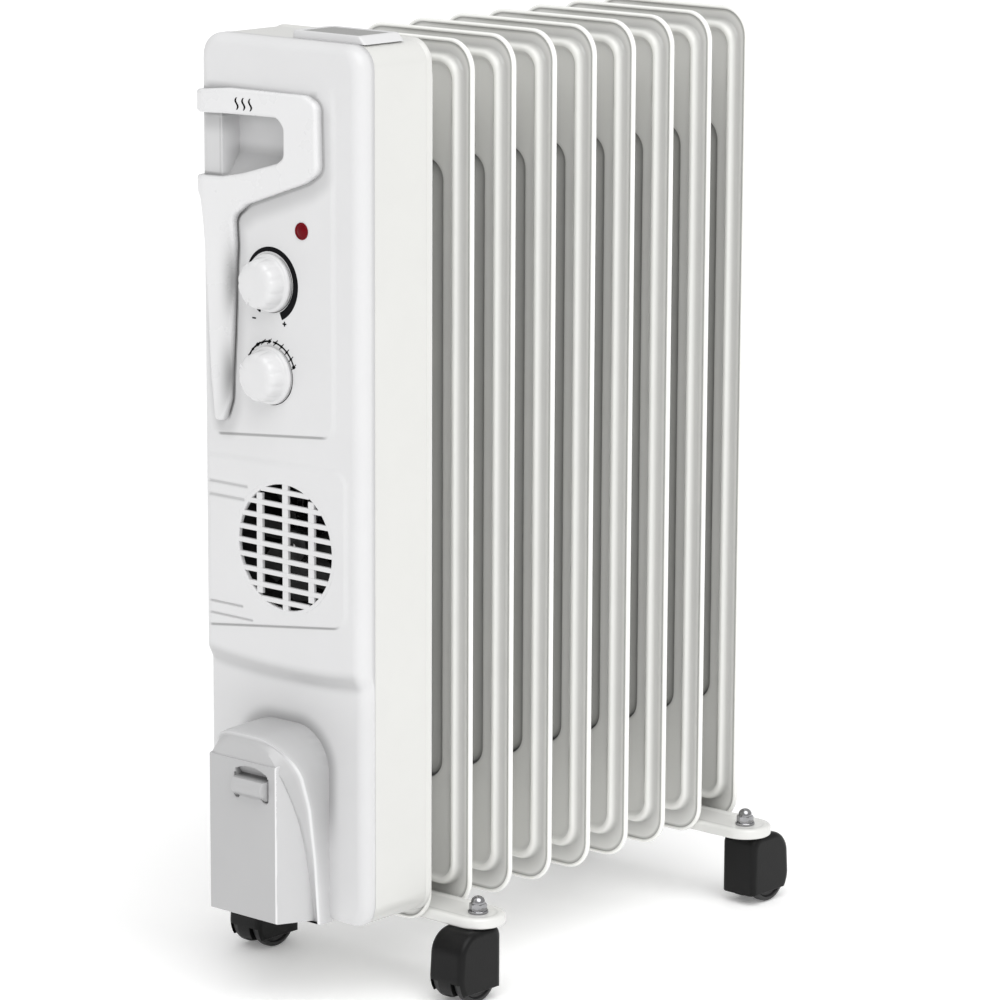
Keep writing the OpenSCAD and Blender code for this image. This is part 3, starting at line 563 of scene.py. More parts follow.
for x in (VX0 + 19, VX0 + 37):
    add_box(slats, x, x + 2.2, VY0 + 2.6, VY1 - 2.6, VZ1 - 4.4, VZ1 - 2.0)
piece(slats, "vent_slats", "vent_plastic", ROOT, sharp=35)

# ---- front cover ----

FACE_Y = cover_lo.y + 5
UPPER_Y, PAD_Y = cover_lo.y + 1, cover_lo.y
COVER_HW, COVER_Z0, COVER_Z1, SEAM_Y = cover_hi.x, cover_lo.z, cover_hi.z, CASE_Y0
fan_lo, fan_hi = box_mm("fan_grille")
FAN_X, _, FAN_Z = centre_mm("fan_grille")
FAN_R = (fan_hi.x - fan_lo.x) / 2
EDGE = 8.0  # radius of the cover's front edge
EDGE_STEPS = [0, 0.08, 0.35, 0.8, 1.5, 2.4, 3.5, 4.8, 6.3, EDGE]
CORNER = 15.0
POCKET = (-48, 9.5, 538, 592)


def spans(stops):
    """Positions from a list of (end, step) after the first stop."""
    values = [stops[0]]
    for end, step in stops[1:]:
        count = max(1, round((end - values[-1]) / step))
        start = values[-1]
        values += [start + (end - start) * (k + 1) / count for k in range(count)]
    return values


# The handle's outline: x, z and the radius of each corner
HANDLE = [
    (-73, 595, 4.5), (-40, 598.5, 30), (28, 599, 12), (38.5, 594, 8), (39.5, 551, 8), (28, 543.5, 14),
    (-24, 525, 12), (-36.5, 516, 10), (-35.5, 497, 20), (-38.5, 440, 60), (-41, 396, 12), (-46.5, 381.5, 6),
    (-53, 381.5, 5), (-57, 410, 30), (-62, 495, 30), (-66, 527, 10), (-73, 530, 4.5), (-73, 540, 4.5),
    (-46, 541, 20), (-27, 545, 20), (4, 554, 12), (9.8, 558, 7), (9.8, 577, 7), (4, 583, 7), (-40, 582, 20),
    (-73, 580.5, 4.5),
]


def distance_to(outline, x, z):
    """Distance of points from a closed outline, negative inside it."""
    far = np.full_like(x, 1e9)
    inside = np.zeros(x.shape, bool)
    for (x0, z0), (x1, z1) in zip(outline, outline[1:] + outline[:1]):
        dx, dz = x1 - x0, z1 - z0
        t = np.clip(((x - x0) * dx + (z - z0) * dz) / max(dx * dx + dz * dz, 1e-9), 0, 1)
        far = np.minimum(far, np.hypot(x - x0 - t * dx, z - z0 - t * dz))
        crosses = ((z0 > z) != (z1 > z)) & (x < dx * (z - z0) / (dz if dz else 1e-9) + x0)
        inside ^= crosses
    return np.where(inside, -far, far)


cols = spans([-COVER_HW + EDGE, (COVER_HW - EDGE, 1.0)])
cols = [-COVER_HW + e for e in EDGE_STEPS[:-1]] + cols + [COVER_HW - e for e in reversed(EDGE_STEPS[:-1])]
rows = spans([COVER_Z0 + EDGE, (120, 6), (200, 2), (232, 1.2), (241, 1.5), (263, 0.45), (324, 1.6), (362, 1),
              (370, 1.6), (386, 0.45), (598, 1), (COVER_Z1 - EDGE, 4)])
rows = [COVER_Z0 + e for e in EDGE_STEPS[:-1]] + rows + [COVER_Z1 - e for e in reversed(EDGE_STEPS[:-1])]
X, Z = np.meshgrid(np.array(cols), np.array(rows))
near_end = np.minimum(Z - COVER_Z0, COVER_Z1 - Z)
rounded = COVER_HW - CORNER + np.sqrt(np.maximum(0, CORNER ** 2 - (CORNER - near_end) ** 2))
X = X * np.where(near_end < CORNER, rounded, COVER_HW) / COVER_HW
hole = np.hypot(X - FAN_X, Z - FAN_Z)
OPEN_R = FAN_R + 0.4
close = np.abs(hole - OPEN_R) < 0.62
X = np.where(close, FAN_X + (X - FAN_X) * OPEN_R / np.maximum(hole, 1), X)
Z = np.where(close, FAN_Z + (Z - FAN_Z) * OPEN_R / np.maximum(hole, 1), Z)
# The step between the upper and the lower face
step_z = 218.5 + 4.5 * (np.abs(X) / COVER_HW) ** 2.5
face_y = FACE_Y - 4 * smoothstep((Z - step_z + 5) / 11)
# Raised fields round the knobs and round the fan
control_low = 371 + 0.095 * (X + 62)
control_in = rect_inside(X, 375 + (Z - control_low) * (606 - 375) / (606 - control_low), -90, 48, 375, 606, 9)
control = smoothstep(0.5 + control_in / 4.5)
fan_low, fan_high = 243 + 0.13 * (X + 61), 357 + 0.03 * (X + 61)
fan_in = rect_inside(X, 246 + (Z - fan_low) * 111 / (fan_high - fan_low), -90, 58, 246, 357, 11)
fan_field = smoothstep(0.5 + fan_in / 4.5)
face_y = face_y - 1.0 * np.maximum(control, fan_field) * smoothstep((X + COVER_HW - 4) / 5)
# Painted shade in a band along the step
tone = 1 - 0.2 * smoothstep(1.3 - np.abs(Z - step_z - 1) / 7) * smoothstep((COVER_HW - 2 - np.abs(X)) / 6)
# Grooves beside the fan, and the fields' fine lower lines, each darkened with painted shade
for z, x_end in ((339.4, -28), (330.5, -31), (259, -33), (251, -24)):
    groove = smoothstep(1.5 - np.abs(Z - z) / 0.75) * smoothstep((x_end - X) / 2) * smoothstep((X + 66) / 3)
    face_y += 0.9 * groove
    tone *= 1 - 0.25 * groove
line = smoothstep(1.4 - np.abs(fan_in) / 0.9) * smoothstep((266 - Z) / 6)
line = line * smoothstep((54 - X) / 8) * smoothstep((X + 66) / 4)
face_y += 0.5 * line
tone *= 1 - 0.5 * line
line = smoothstep(1.5 - np.abs(control_in) / 0.9) * smoothstep((388 - Z) / 5)
line = line * smoothstep((44 - X) / 8) * smoothstep((X + 56) / 3)
face_y += 0.4 * line
tone *= 1 - 0.5 * line
pocket = smoothstep(0.5 + rect_inside(X, Z, *POCKET, 4) / 1.6)
pocket_y = np.interp(Z, [538, 560, 592], [PAD_Y + 2, FACE_Y + 12, FACE_Y + 13])
face_y = face_y * (1 - pocket) + pocket_y * pocket
# Painted shade in the pocket under the handle's bar, darkest at its top and bottom, on the cover left of the
# pocket and in a line along the pocket's left wall
tone *= 1 - pocket * (0.04 + 0.24 * smoothstep((Z - 572) / 16) + 0.24 * smoothstep((564 - Z) / 8))
tone *= 1 - 0.13 * smoothstep((-50 - X) / 1.5) * smoothstep((Z - 534) / 3) * smoothstep((593 - Z) / 3)
ridge = smoothstep(1.6 - np.abs(X + 50.5) / 0.7) * smoothstep((580 - Z) / 3) * smoothstep((Z - 541) / 3)
tone *= 1 - 0.22 * ridge
handle_outline = round_polygon(HANDLE, 8)
# Soft contact shade beside and under the handle, and round the winder's hood
below = distance_to(handle_outline, X - 1.5, Z + 5.5)
tone *= 1 - 0.2 * smoothstep(1.0 - below / 10) * (1 - pocket)
beside = distance_to(handle_outline, X, Z)
dark = 0.3 + 0.5 * smoothstep((-20 - X) / 14) * smoothstep((545 - Z) / 12)
tone *= 1 - dark * smoothstep(1.7 - np.abs(beside - 0.6) / 1.1) * (1 - pocket) * smoothstep((Z - 380) / 8)
hood_gap = -rect_inside(X, Z, -38.5, 38.5, -200, 187.5, 28)
tone *= 1 - 0.36 * smoothstep(1.0 - hood_gap / 10) * smoothstep((Z - 105) / 40)
tone *= 1 - 0.10 * smoothstep(1.0 - hood_gap / 12)
# Painted shade: the cover a little darker towards the bottom
tone *= 0.94 + 0.06 * smoothstep((Z - 190) / 40)
inside = rect_inside(X, Z, -COVER_HW, COVER_HW, COVER_Z0, COVER_Z1, CORNER)
edge = EDGE - np.sqrt(np.maximum(0, EDGE ** 2 - (EDGE - np.clip(inside, 0, EDGE)) ** 2))
Y = np.minimum(face_y + edge, SEAM_Y - 0.3)
front = Shape()
centre = np.hypot((X[:-1, :-1] + X[1:, 1:]) / 2 - FAN_X, (Z[:-1, :-1] + Z[1:, 1:]) / 2 - FAN_Z)
front.grid(np.stack([X, Y, Z], axis=-1), shade=tone, skip=centre < OPEN_R)
rim = grid_border(np.stack([X, Y, Z], axis=-1))
front.loft([rim, [(x, SEAM_Y + 0.2, z) for x, y, z in rim]], caps=(False, False))
front_mesh = welded(front.mesh("front_cover"), to_front=True)
front_piece = place(front_mesh, "front_cover_moulding", "cover_plastic", ROOT, ["front_cover"], sharp=50,
                    weighted=False)
shell = front_piece.modifiers.new("shell", "SOLIDIFY")
shell.thickness, shell.offset = 2.0 * MM, -1

# ---- handle ----

HANDLE_Y0 = box_mm("handle")[0].y
BEND_X, BEND_R = -60.0, 14.0


def diced(me, step):
    """The mesh cut along planes of X and Z, so that its flats can be shaped."""
    bm = bmesh.new()
    bm.from_mesh(me)
    bmesh.ops.dissolve_limit(bm, angle_limit=0.002, verts=bm.verts, edges=bm.edges)
    lo = [min(v.co[k] for v in bm.verts) for k in range(3)]
    hi = [max(v.co[k] for v in bm.verts) for k in range(3)]
    for axis, normal in ((0, (1, 0, 0)), (2, (0, 0, 1))):
        at = lo[axis] + step * MM
        while at < hi[axis] - 0.2 * step * MM:
            point = [0, 0, 0]
            point[axis] = at
            bmesh.ops.bisect_plane(bm, geom=bm.verts[:] + bm.edges[:] + bm.faces[:], dist=0.35 * MM,
                                   plane_co=point, plane_no=normal)
            at += step * MM
    bmesh.ops.dissolve_degenerate(bm, dist=0.05 * MM, edges=bm.edges)
    bmesh.ops.recalc_face_normals(bm, faces=bm.faces)
    bm.to_mesh(me)
    bm.free()
    return me


handle_mesh = diced(plate(handle_outline, HANDLE_Y0, UPPER_Y + 1.5, 2.4, "handle"), 2.2)
count = len(handle_mesh.vertices)
co = np.zeros(count * 3)
handle_mesh.vertices.foreach_get("co", co)
co = co.reshape(-1, 3) / MM
hx, hy, hz = co[:, 0], co[:, 1], co[:, 2]
forward = smoothstep((UPPER_Y - hy) / 4)
from_edge = np.interp(hz, [381, 396, 440, 497, 516, 526], [-46, -41, -38.5, -35.5, -36.5, -20]) - hx
scoops = np.exp(-((hz - 474) / 20) ** 2) + np.exp(-((hz - 412) / 19) ** 2)
scoops *= smoothstep((530 - hz) / 10)
dip = 3.4 * scoops * np.exp(-(np.maximum(0, from_edge - 1) / 7) ** 2)
dip += 1.0 * smoothstep((-hx - 30) / 12) * smoothstep((532 - hz) / 22) * smoothstep((hz - 380) / 30)
bent = BEND_R - np.sqrt(np.maximum(0, BEND_R ** 2 - np.clip(BEND_X - hx, 0, BEND_R) ** 2))
hy += forward * dip + bent
handle_mesh.vertices.foreach_set("co", (co * MM).ravel())
tones = handle_mesh.color_attributes.new("shade", "FLOAT_COLOR", "POINT")
# Painted light on the handle: a little lighter overall, with painted shade in the tail's finger scoops and on
# its sides back towards the panel
tone_values = 1.04 - 0.66 * scoops * np.exp(-(np.maximum(0, from_edge - 1.5) / 6.5) ** 2)
tone_values *= 1 - 0.35 * smoothstep((hy - UPPER_Y + 3) / 3)
tones.data.foreach_set("color", np.stack([tone_values] * 3 + [np.ones(count)], axis=1).ravel())
place(handle_mesh, "handle_moulding", "handle_plastic", ROOT, ["handle"], sharp=50)

# Three rising waves, a plain sign for heat, on the handle's bar
marks = []
for k in range(3):
    x0 = -30 + 6 * k
    left, right = [], []
    for i in range(13):
        t = i / 12
        wave = 1.1 * math.sin(2 * math.pi * t)
        wide = 0.45 + 0.45 * math.sin(math.pi * t)
        left.append((x0 + wave - wide, 585.5 + 8 * t))
        right.append((x0 + wave + wide, 585.5 + 8 * t))
    marks.append(plate(right + left[::-1], HANDLE_Y0 - 0.12, HANDLE_Y0 + 0.5, 0.05, "mark"))
place(joined(marks, "heat_mark"), "heat_mark", INK_AND_SHADOW, ROOT, sharp=30, weighted=False)

# ---- fan grille ----

GRILLE_Y0, GRILLE_Y1 = fan_lo.y, fan_hi.y
bars = []
ring_shape = Shape()
ring_profile = [(FAN_R - 1.6, GRILLE_Y1), (FAN_R - 1.6, GRILLE_Y0 + 0.7), (FAN_R - 1.3, GRILLE_Y0 + 0.2),
                (FAN_R - 0.6, GRILLE_Y0 - 0.05), (FAN_R + 0.6, GRILLE_Y0 - 0.08),
                (FAN_R + 1.3, GRILLE_Y0 + 0.05), (FAN_R + 1.5, GRILLE_Y0 + 0.5),
                (FAN_R - 0.2, GRILLE_Y0 + 0.6), (FAN_R - 0.2, GRILLE_Y1)]
ring_shape.loft(revolve(ring_profile, (FAN_X, 0, FAN_Z), "y", 96), loop=True)
bars.append(ring_shape.mesh("ring"))
BAR_PITCH, BAR_HALF = 9.1, 1.6
UPRIGHT_PITCH, UPRIGHT_HALF = 23, 2.5
for i in range(-4, 5):
    z = i * BAR_PITCH
    half = math.sqrt((FAN_R - 0.8) ** 2 - z * z)
    bars.append(plate(rectangle(FAN_X, FAN_Z + z, half, BAR_HALF), GRILLE_Y0, GRILLE_Y1 - 0.4, 0.35, "bar"))
for i in (-1, 0, 1):
    x = i * UPRIGHT_PITCH
    half = math.sqrt((FAN_R - 0.8) ** 2 - (abs(x) + 3) ** 2)
    bars.append(plate(rectangle(FAN_X + x, FAN_Z, UPRIGHT_HALF, half), GRILLE_Y0 + 0.35, GRILLE_Y1, 0.35,
                      "upright"))
grille_mesh = joined(bars, "grille")
tones = (grille_mesh.color_attributes.get("shade")
         or grille_mesh.color_attributes.new("shade", "FLOAT_COLOR", "POINT"))
tones.data.foreach_set("color", [1.0] * (4 * len(grille_mesh.vertices)))
place(grille_mesh, "fan_grille_bars", "cover_plastic", ROOT, ["fan_grille"], sharp=35)

# ---- knobs, lamp and scales ----


def knob(node, body, pointer_angle):
    lo, hi = box_mm(node)
    cx, _, cz = centre_mm(node)
    tip, back = lo.y, hi.y
    base_t = 3.4
    profile = [(3.2, back), (18.3, back), (18.9, back - 0.5), (19.0, back - 1.4), (18.8, back - 2.4),
               (18.3, back - 3.1), (17.6, back - base_t), (17.1, back - base_t - 0.3),
               (16.8, back - base_t - 1.2), (16.4, back - 7), (15.9, back - 10), (15.3, tip + 2.9),
               (14.5, tip + 1.6), (13.3, tip + 0.7), (11.6, tip + 0.2), (8.6, tip), (4.4, tip + 0.15),
               (0.6, tip + 0.25)]
    strength = [0, 0, 0, 0, 0, 0, 0, 0.1, 0.4, 0.8, 0.95, 1.0, 0.95, 0.85, 0.65, 0.3, 0.1, 0]

    def wave(a, k):
        return 0.85 * strength[k] * (abs(math.cos(5.5 * a)) ** 0.7 - 0.72)

    shape = Shape().loft(revolve(profile, (cx, 0, cz), "y", 168, wave))
    a = math.radians(pointer_angle)
    ux, uz = math.cos(a), math.sin(a)
    ridge = []
    for y, inset, lift in ((back - base_t - 0.2, 0.0, 0.0), (tip + 1.6, 0.2, 0.0), (tip + 0.1, 0.9, 0.2)):
        ring = []
        for along, across in ((14.6, -0.6), (15.1 - inset, 0), (14.6, 0.6), (8.5, 0.5), (8.5, -0.5)):
            along = along - inset * 0.5
            ring.append((cx + along * ux - across * uz, y - lift, cz + along * uz + across * ux))
        ridge.append(ring)
    shape.loft(ridge)
    return piece(shape, node + "_fluted", "knob_plastic", body, [node], sharp=45, weighted=False)


knob("thermostat_knob", "thermostat_dial", 245)
knob("selector_knob", "selector_dial", 150)
TX, _, TZ = centre_mm("thermostat_knob")
SX, _, SZ = centre_mm("selector_knob")
INK_AND_SHADOW_Y0, INK_AND_SHADOW_Y1 = PAD_Y - 0.14, PAD_Y + 0.3


def tapered_arc(cx, cz, a0, a1, r_inner, w0, w1):
    """Outline of an arc whose width goes from w0 to w1."""
    n = 60
    inner, outer = [], []
    for k in range(n + 1):
        t = k / n
        a = math.radians(a0 + (a1 - a0) * t)
        w = w0 + (w1 - w0) * t ** 0.7
        inner.append((cx + r_inner * math.cos(a), cz + r_inner * math.sin(a)))
        outer.append((cx + (r_inner + w) * math.cos(a), cz + (r_inner + w) * math.sin(a)))
    return inner + outer[::-1]


def stroke(x0, z0, x1, z1, w):
    """A thin bar between two points, as an outline."""
    dx, dz = x1 - x0, z1 - z0
    length = math.hypot(dx, dz)
    nx, nz = -dz / length * w / 2, dx / length * w / 2
    return [(x0 + nx, z0 + nz), (x0 - nx, z0 - nz), (x1 - nx, z1 - nz), (x1 + nx, z1 + nz)]


# Black plates for the printed marks and for the painted shadow round the knobs' discs
def ink_and_shadow(outlines, name):
    flat = [plate(o, INK_AND_SHADOW_Y0, INK_AND_SHADOW_Y1, 0.03, "ink_and_shadow") for o in outlines]
    return place(joined(flat, name), name, INK_AND_SHADOW, ROOT, sharp=30, weighted=False)


def painted_disc_shadows(cx, cz):
    """Fine dark arcs round the lower right of a knob's disc: painted shadow where the disc stands over the
    cover.
    """
    return [tapered_arc(cx, cz, -30, 62, 19.2, 0.75, 0.1), tapered_arc(cx, cz, -30, -128, 19.2, 0.75, 0.1)]


SIGN = 3.2  # width of the minus and the plus
scale = [tapered_arc(TX, TZ, 158, -66, 20.2, 1.4, 5.2), tapered_arc(TX, TZ, 246, 234, 20.6, 1.6, 1.6)]
for x, z in ((TX - 14.5, TZ - 24.5), (TX + 12.5, TZ - 25.5)):
    scale.append(stroke(x - SIGN / 2, z, x + SIGN / 2, z, 1.0))
    if x > TX:
        scale.append(stroke(x, z - SIGN / 2, x, z + SIGN / 2, 1.0))
ink_and_shadow(scale + painted_disc_shadows(TX, TZ), "thermostat_scale_and_shadow")
marks = []
for k in range(11):
    a = math.radians(165 - 14.5 * k)
    px, pz = SX + 21.8 * math.cos(a), SZ + 21.8 * math.sin(a)
    size = 1.8 if k in (3, 5, 10) else 1.3
    marks.append([(px - size, pz), (px, pz - size * 0.8), (px + size, pz), (px, pz + size * 0.8)])
    marks.append(stroke(px - 1.9, pz - 1.9, px + 1.9, pz + 1.9, 0.6))
marks.append(tapered_arc(SX, SZ, 172, 96, 21.3, 1.1, 1.1))
marks.append(tapered_arc(SX, SZ, 84, 22, 21.3, 1.1, 1.1))
ink_and_shadow(marks + painted_disc_shadows(SX, SZ), "selector_scale_and_shadow")

lamp_lo, lamp_hi = box_mm("power_lamp")
LX, _, LZ = centre_mm("power_lamp")
LR = (lamp_hi.x - lamp_lo.x) / 2
profile = [(LR - 0.4, PAD_Y + 2), (LR, PAD_Y + 0.1), (LR, PAD_Y - 0.3), (LR - 0.3, PAD_Y - 0.7),
           (LR - 0.9, PAD_Y - 0.8), (LR - 1.4, PAD_Y - 0.5), (LR - 1.8, PAD_Y - 0.6),
           (LR * 0.5, PAD_Y - 1.15), (LR * 0.25, PAD_Y - 1.35), (0.3, PAD_Y - 1.4)]
lens = Shape().loft(revolve(profile, (LX, 0, LZ), "y", 48))
piece(lens, "power_lamp_lens", "lamp_red", ROOT, ["power_lamp"], sharp=40)

# ---- cord winder ----

BOSS_Y = box_mm("cord_winder")[0].y + 6
BOSS_D = FACE_Y - BOSS_Y
# Depths in front of the face, as (z, depth)
LIP = [[58, 8.5], [102, 11.9], [138, 16.6], [160, 23.7], [170, 29], [176, 33.3], [184, 39.3], [187, 40.3]]
SADDLE = [[58, 5.4], [90, 10.6], [110, 15], [127, 20], [143, 27], [157.5, 34.8], [163, 38.6], [167, 40.5],
          [170, 40.95], [187, 40.95]]
# Painted shade on most of the hub
HUB_TONE = 0.68


def lip_d(z):
    return float(np.interp(z, *zip(*LIP)))


def saddle_d(z):
    return float(np.interp(z, *zip(*SADDLE)))


def hub_outline(inset):
    n = 14
    r = max(2.0, 26 - inset)
    hw, top, low = 36 - inset, 185 - inset, 58
    side = [(hw, low + (top - r - low) * k / 18) for k in range(18)]
    return (side + arc(hw - r, top - r, r, 0, 90, n) + arc(-hw + r, top - r, r, 90, 180, n)
            + [(-x, z) for x, z in reversed(side)])


def hub_ring(inset, depth):
    """One ring of the hub: inset from the lip's outline, with its depth as a function of height."""
    return [(x, FACE_Y + 0.5 - depth(z), z) for x, z in hub_outline(inset)]


def between_depths(share):
    return lambda z: lip_d(z) * (1 - share) + saddle_d(z) * share


hub = Shape()
hub_rings = [hub_ring(-2.6, lambda z: -2.0), hub_ring(-2.5, lambda z: 0.3 * lip_d(z)),
             hub_ring(-2.2, lambda z: 0.62 * lip_d(z)), hub_ring(-1.7, lambda z: 0.85 * lip_d(z)),
             hub_ring(-1.1, lambda z: lip_d(z) - 0.9), hub_ring(-0.4, lambda z: lip_d(z) - 0.1),
             hub_ring(0.3, lambda z: lip_d(z) + 0.2), hub_ring(1.2, between_depths(0.12)),
             hub_ring(2.0, between_depths(0.35)), hub_ring(3.4, between_depths(0.7)),
             hub_ring(5.0, between_depths(0.95)), hub_ring(9, saddle_d)]
# Painted light of the rings: painted shade down the hub's outer wall, a painted highlight along the lip
hub_tones = [0.62, 0.62, 0.63, 0.66, 0.72, 1.14, 1.1, 0.76] + [HUB_TONE] * 4
n_ring = len(hub_rings[0])
hub.loft(hub_rings, caps=(False, False), shade=hub_tones)
for ring in (hub_rings[-1], hub_rings[0]):
    half = n_ring // 2
    base = len(hub.verts)
    hub.verts += ring
    hub.shade += [HUB_TONE] * n_ring
    for k in range(half - 1):
        hub.faces.append((base + k, base + k + 1, base + n_ring - 2 - k, base + n_ring - 1 - k))
for a, b in zip(hub_rings, hub_rings[1:]):
    base = len(hub.verts)
    hub.verts += [a[0], a[-1], b[-1], b[0]]
    hub.shade += [HUB_TONE] * 4
# The painted shade lightens towards the bottom and the painted highlight dims near the top
for k, (_, _, z) in enumerate(hub.verts):
    if hub.shade[k] < 1:
        hub.shade[k] += 0.16 * min(1, max(0, (130 - z) / 50))
    else:
        hub.shade[k] -= 0.3 * smoothstep((z - 165) / 15)
hub_mesh = welded(hub.mesh("hub"), fill=True)

# The boss in the hub's middle: a grid whose depth carries the sprung tab, its cuts and the slot above it
TAB_X0, TAB_X1 = -6.0, 22.0
TAB_Z0, TAB_Z1 = 146.0, 157.6
BOSS_HW, BOSS_Z0, BOSS_Z1 = 30, 64, 170
bx = spans([-BOSS_HW, (-29, 0.25), (-8, 2), (24, 0.5), (29, 1), (BOSS_HW, 0.25)])
bz = spans([BOSS_Z0, (65, 0.25), (138, 5), (169, 0.5), (BOSS_Z1, 0.25)])
BX, BZ = np.meshgrid(np.array(bx), np.array(bz))
depth = np.full_like(BX, BOSS_D)
bulge = np.interp(BZ, [144, 145.2, 147, 149, 151.5, 154, 156, 157.6], [0, 0.5, 2.9, 4.6, 5.6, 5.4, 4.4, 3.2])
in_tab = smoothstep((BX - TAB_X0) / 0.6) * smoothstep((TAB_X1 - BX) / 0.6) * (BZ < 157.9)
depth += bulge * in_tab
slot = smoothstep((BX - TAB_X0 + 0.2) / 0.8) * smoothstep((TAB_X1 + 0.2 - BX) / 0.8)
slot = slot * smoothstep((BZ - TAB_Z1) / 0.6) * smoothstep((165.6 - 4 * ((BX - 7) / 15) ** 2 - BZ) / 0.8)
side_cut = np.maximum(smoothstep(1.7 - np.abs(BX - TAB_X0 + 0.7) / 0.5),
                      smoothstep(1.7 - np.abs(BX - TAB_X1 - 0.7) / 0.5))
side_cut = side_cut * smoothstep((BZ - TAB_Z0) / 0.6) * smoothstep((160 - BZ) / 1.0)
hook_cut = np.zeros_like(BX)
for cx in (TAB_X0 + 1.2, TAB_X1 - 1.2):
    radius = np.hypot(BX - cx, BZ - TAB_Z0)
    hook = smoothstep(1.7 - np.abs(radius - 1.9) / 0.5) * smoothstep((146.6 - BZ) / 0.5)
    hook_cut = np.maximum(hook_cut, hook)
carve = np.maximum(np.maximum(slot * 5.5, side_cut * 3.0), hook_cut * 2.4)
depth -= carve
rim_in = np.clip(BOSS_HW - BX, 0, 1)
edge_in = np.minimum(np.minimum(BOSS_HW - np.abs(BX), BZ - BOSS_Z0), 1)
depth -= 0.8 * (1 - np.sqrt(np.maximum(0, 1 - (1 - edge_in) ** 2))) + 7 * smoothstep((BZ - 168.6) / 1.4)
# Painted light on the boss: painted shade over its face, a painted highlight along its right edge, painted
# shade in its cuts and slot and at the tab's lower end
boss_tone = 0.66 + 0.44 * smoothstep(1.6 - np.abs(rim_in - 0.45) / 0.35)
boss_tone *= 1 - 0.68 * np.clip(carve / 4, 0, 1)
boss_tone *= 1 - 0.25 * in_tab * smoothstep(1 - np.abs(BZ - 146.5) / 3)
boss = Shape()
grid_points = np.stack([BX, FACE_Y - depth, BZ], axis=-1)
boss.grid(grid_points, shade=boss_tone)
rim = grid_border(grid_points)


def grown(points, out, y, drop=0.0):
    """The boss's rim moved out and back; its lower edge also drops."""
    side, low = BOSS_HW - 0.1, BOSS_Z0 + 0.1
    return [(x + out * (1 if x > side else -1 if x < -side else 0), max(y, was),
             z - (out + drop if z < low else 0)) for x, was, z in points]


# Painted shade down the boss's sides
boss.loft([rim, grown(rim, 0.1, BOSS_Y + 1.3), grown(rim, 0.1, FACE_Y + 1, 5.9)], caps=(False, True),
          shade=[0.95, 0.82, 0.84])
boss_mesh = welded(boss.mesh("boss"))
place(joined([hub_mesh, boss_mesh], "winder"), "cord_winder_moulding", "cover_plastic", ROOT, ["cord_winder"],
      sharp=38)

# ---- casters ----

WASHER_R, HEX_R, DOME_R = 6.8, 6.0, 4.8
HOOD_BOW = 17  # radius of the hood's upper back
WELL_R, WELL_X, CHEEK = 19.4, 5.5, 1.5  # the wheels' wells, from the middle and from the hood's side
WHEEL_X, WHEEL_CHEEK = 5.9, 1.9


def bracket(node):
    lo, hi = box_mm(node)
    cy, r = (lo.y + hi.y) / 2, (hi.y - lo.y) / 2
    half = hi.x - r
    rings = []
    for inset, z in ((2.2, hi.z - 2.5), (2.2, lo.z + 0.3), (1.6, lo.z), (0.6, lo.z), (0.1, lo.z + 0.5),
                     (0, lo.z + 1.2), (0, hi.z - 2.4), (0.3, hi.z - 1.2), (1.0, hi.z - 0.4), (2.2, hi.z),
                     (4.6, hi.z), (5.6, hi.z - 0.35), (6.6, hi.z - 0.7), (8, hi.z - 0.7)):
        rings.append([(x, cy + y, z) for x, y in stadium(half, r - inset, 28)])
    return piece(Shape().loft(rings), node + "_plate", "bracket_enamel", ROOT, [node], sharp=50)


bracket("front_caster_bracket")
bracket("rear_caster_bracket")


def hex_wave(a, k):
    """Flattens the nut's first four rings to a hexagon."""
    flat = HEX_R * math.cos(math.pi / 6) / math.cos((a + math.pi / 6) % (math.pi / 3) - math.pi / 6)
    return (flat - HEX_R) * (0.5, 1, 1, 0.5)[k] if k < 4 else 0


nuts = Shape()
nut_lo, nut_hi = box_mm("caster_nuts")
WASHER = [(3.2, -0.7), (6.4, -0.7), (WASHER_R, -0.3), (WASHER_R, 0.8), (6.5, 1.2), (3.2, 1.25)]
NUT = [(5.8, 1.2), (HEX_R, 1.6), (HEX_R, 5.2), (5.6, 5.8), (DOME_R, 6.1), (4.75, 6.8), (4.5, 7.9), (3.8, 9.2),
       (2.6, 10.2), (1.2, 10.7), (0.3, 10.75)]
for x in (nut_lo.x + WASHER_R, nut_hi.x - WASHER_R):
    for y in (nut_lo.y + WASHER_R, nut_hi.y - WASHER_R):
        nuts.loft(revolve(WASHER, (x, y, nut_lo.z), "z", 40), loop=True)
        nuts.loft(revolve(NUT, (x, y, nut_lo.z), "z", 72, hex_wave))
piece(nuts, "cap_nuts", "bright_nut", ROOT, ["caster_nuts"], sharp=28)


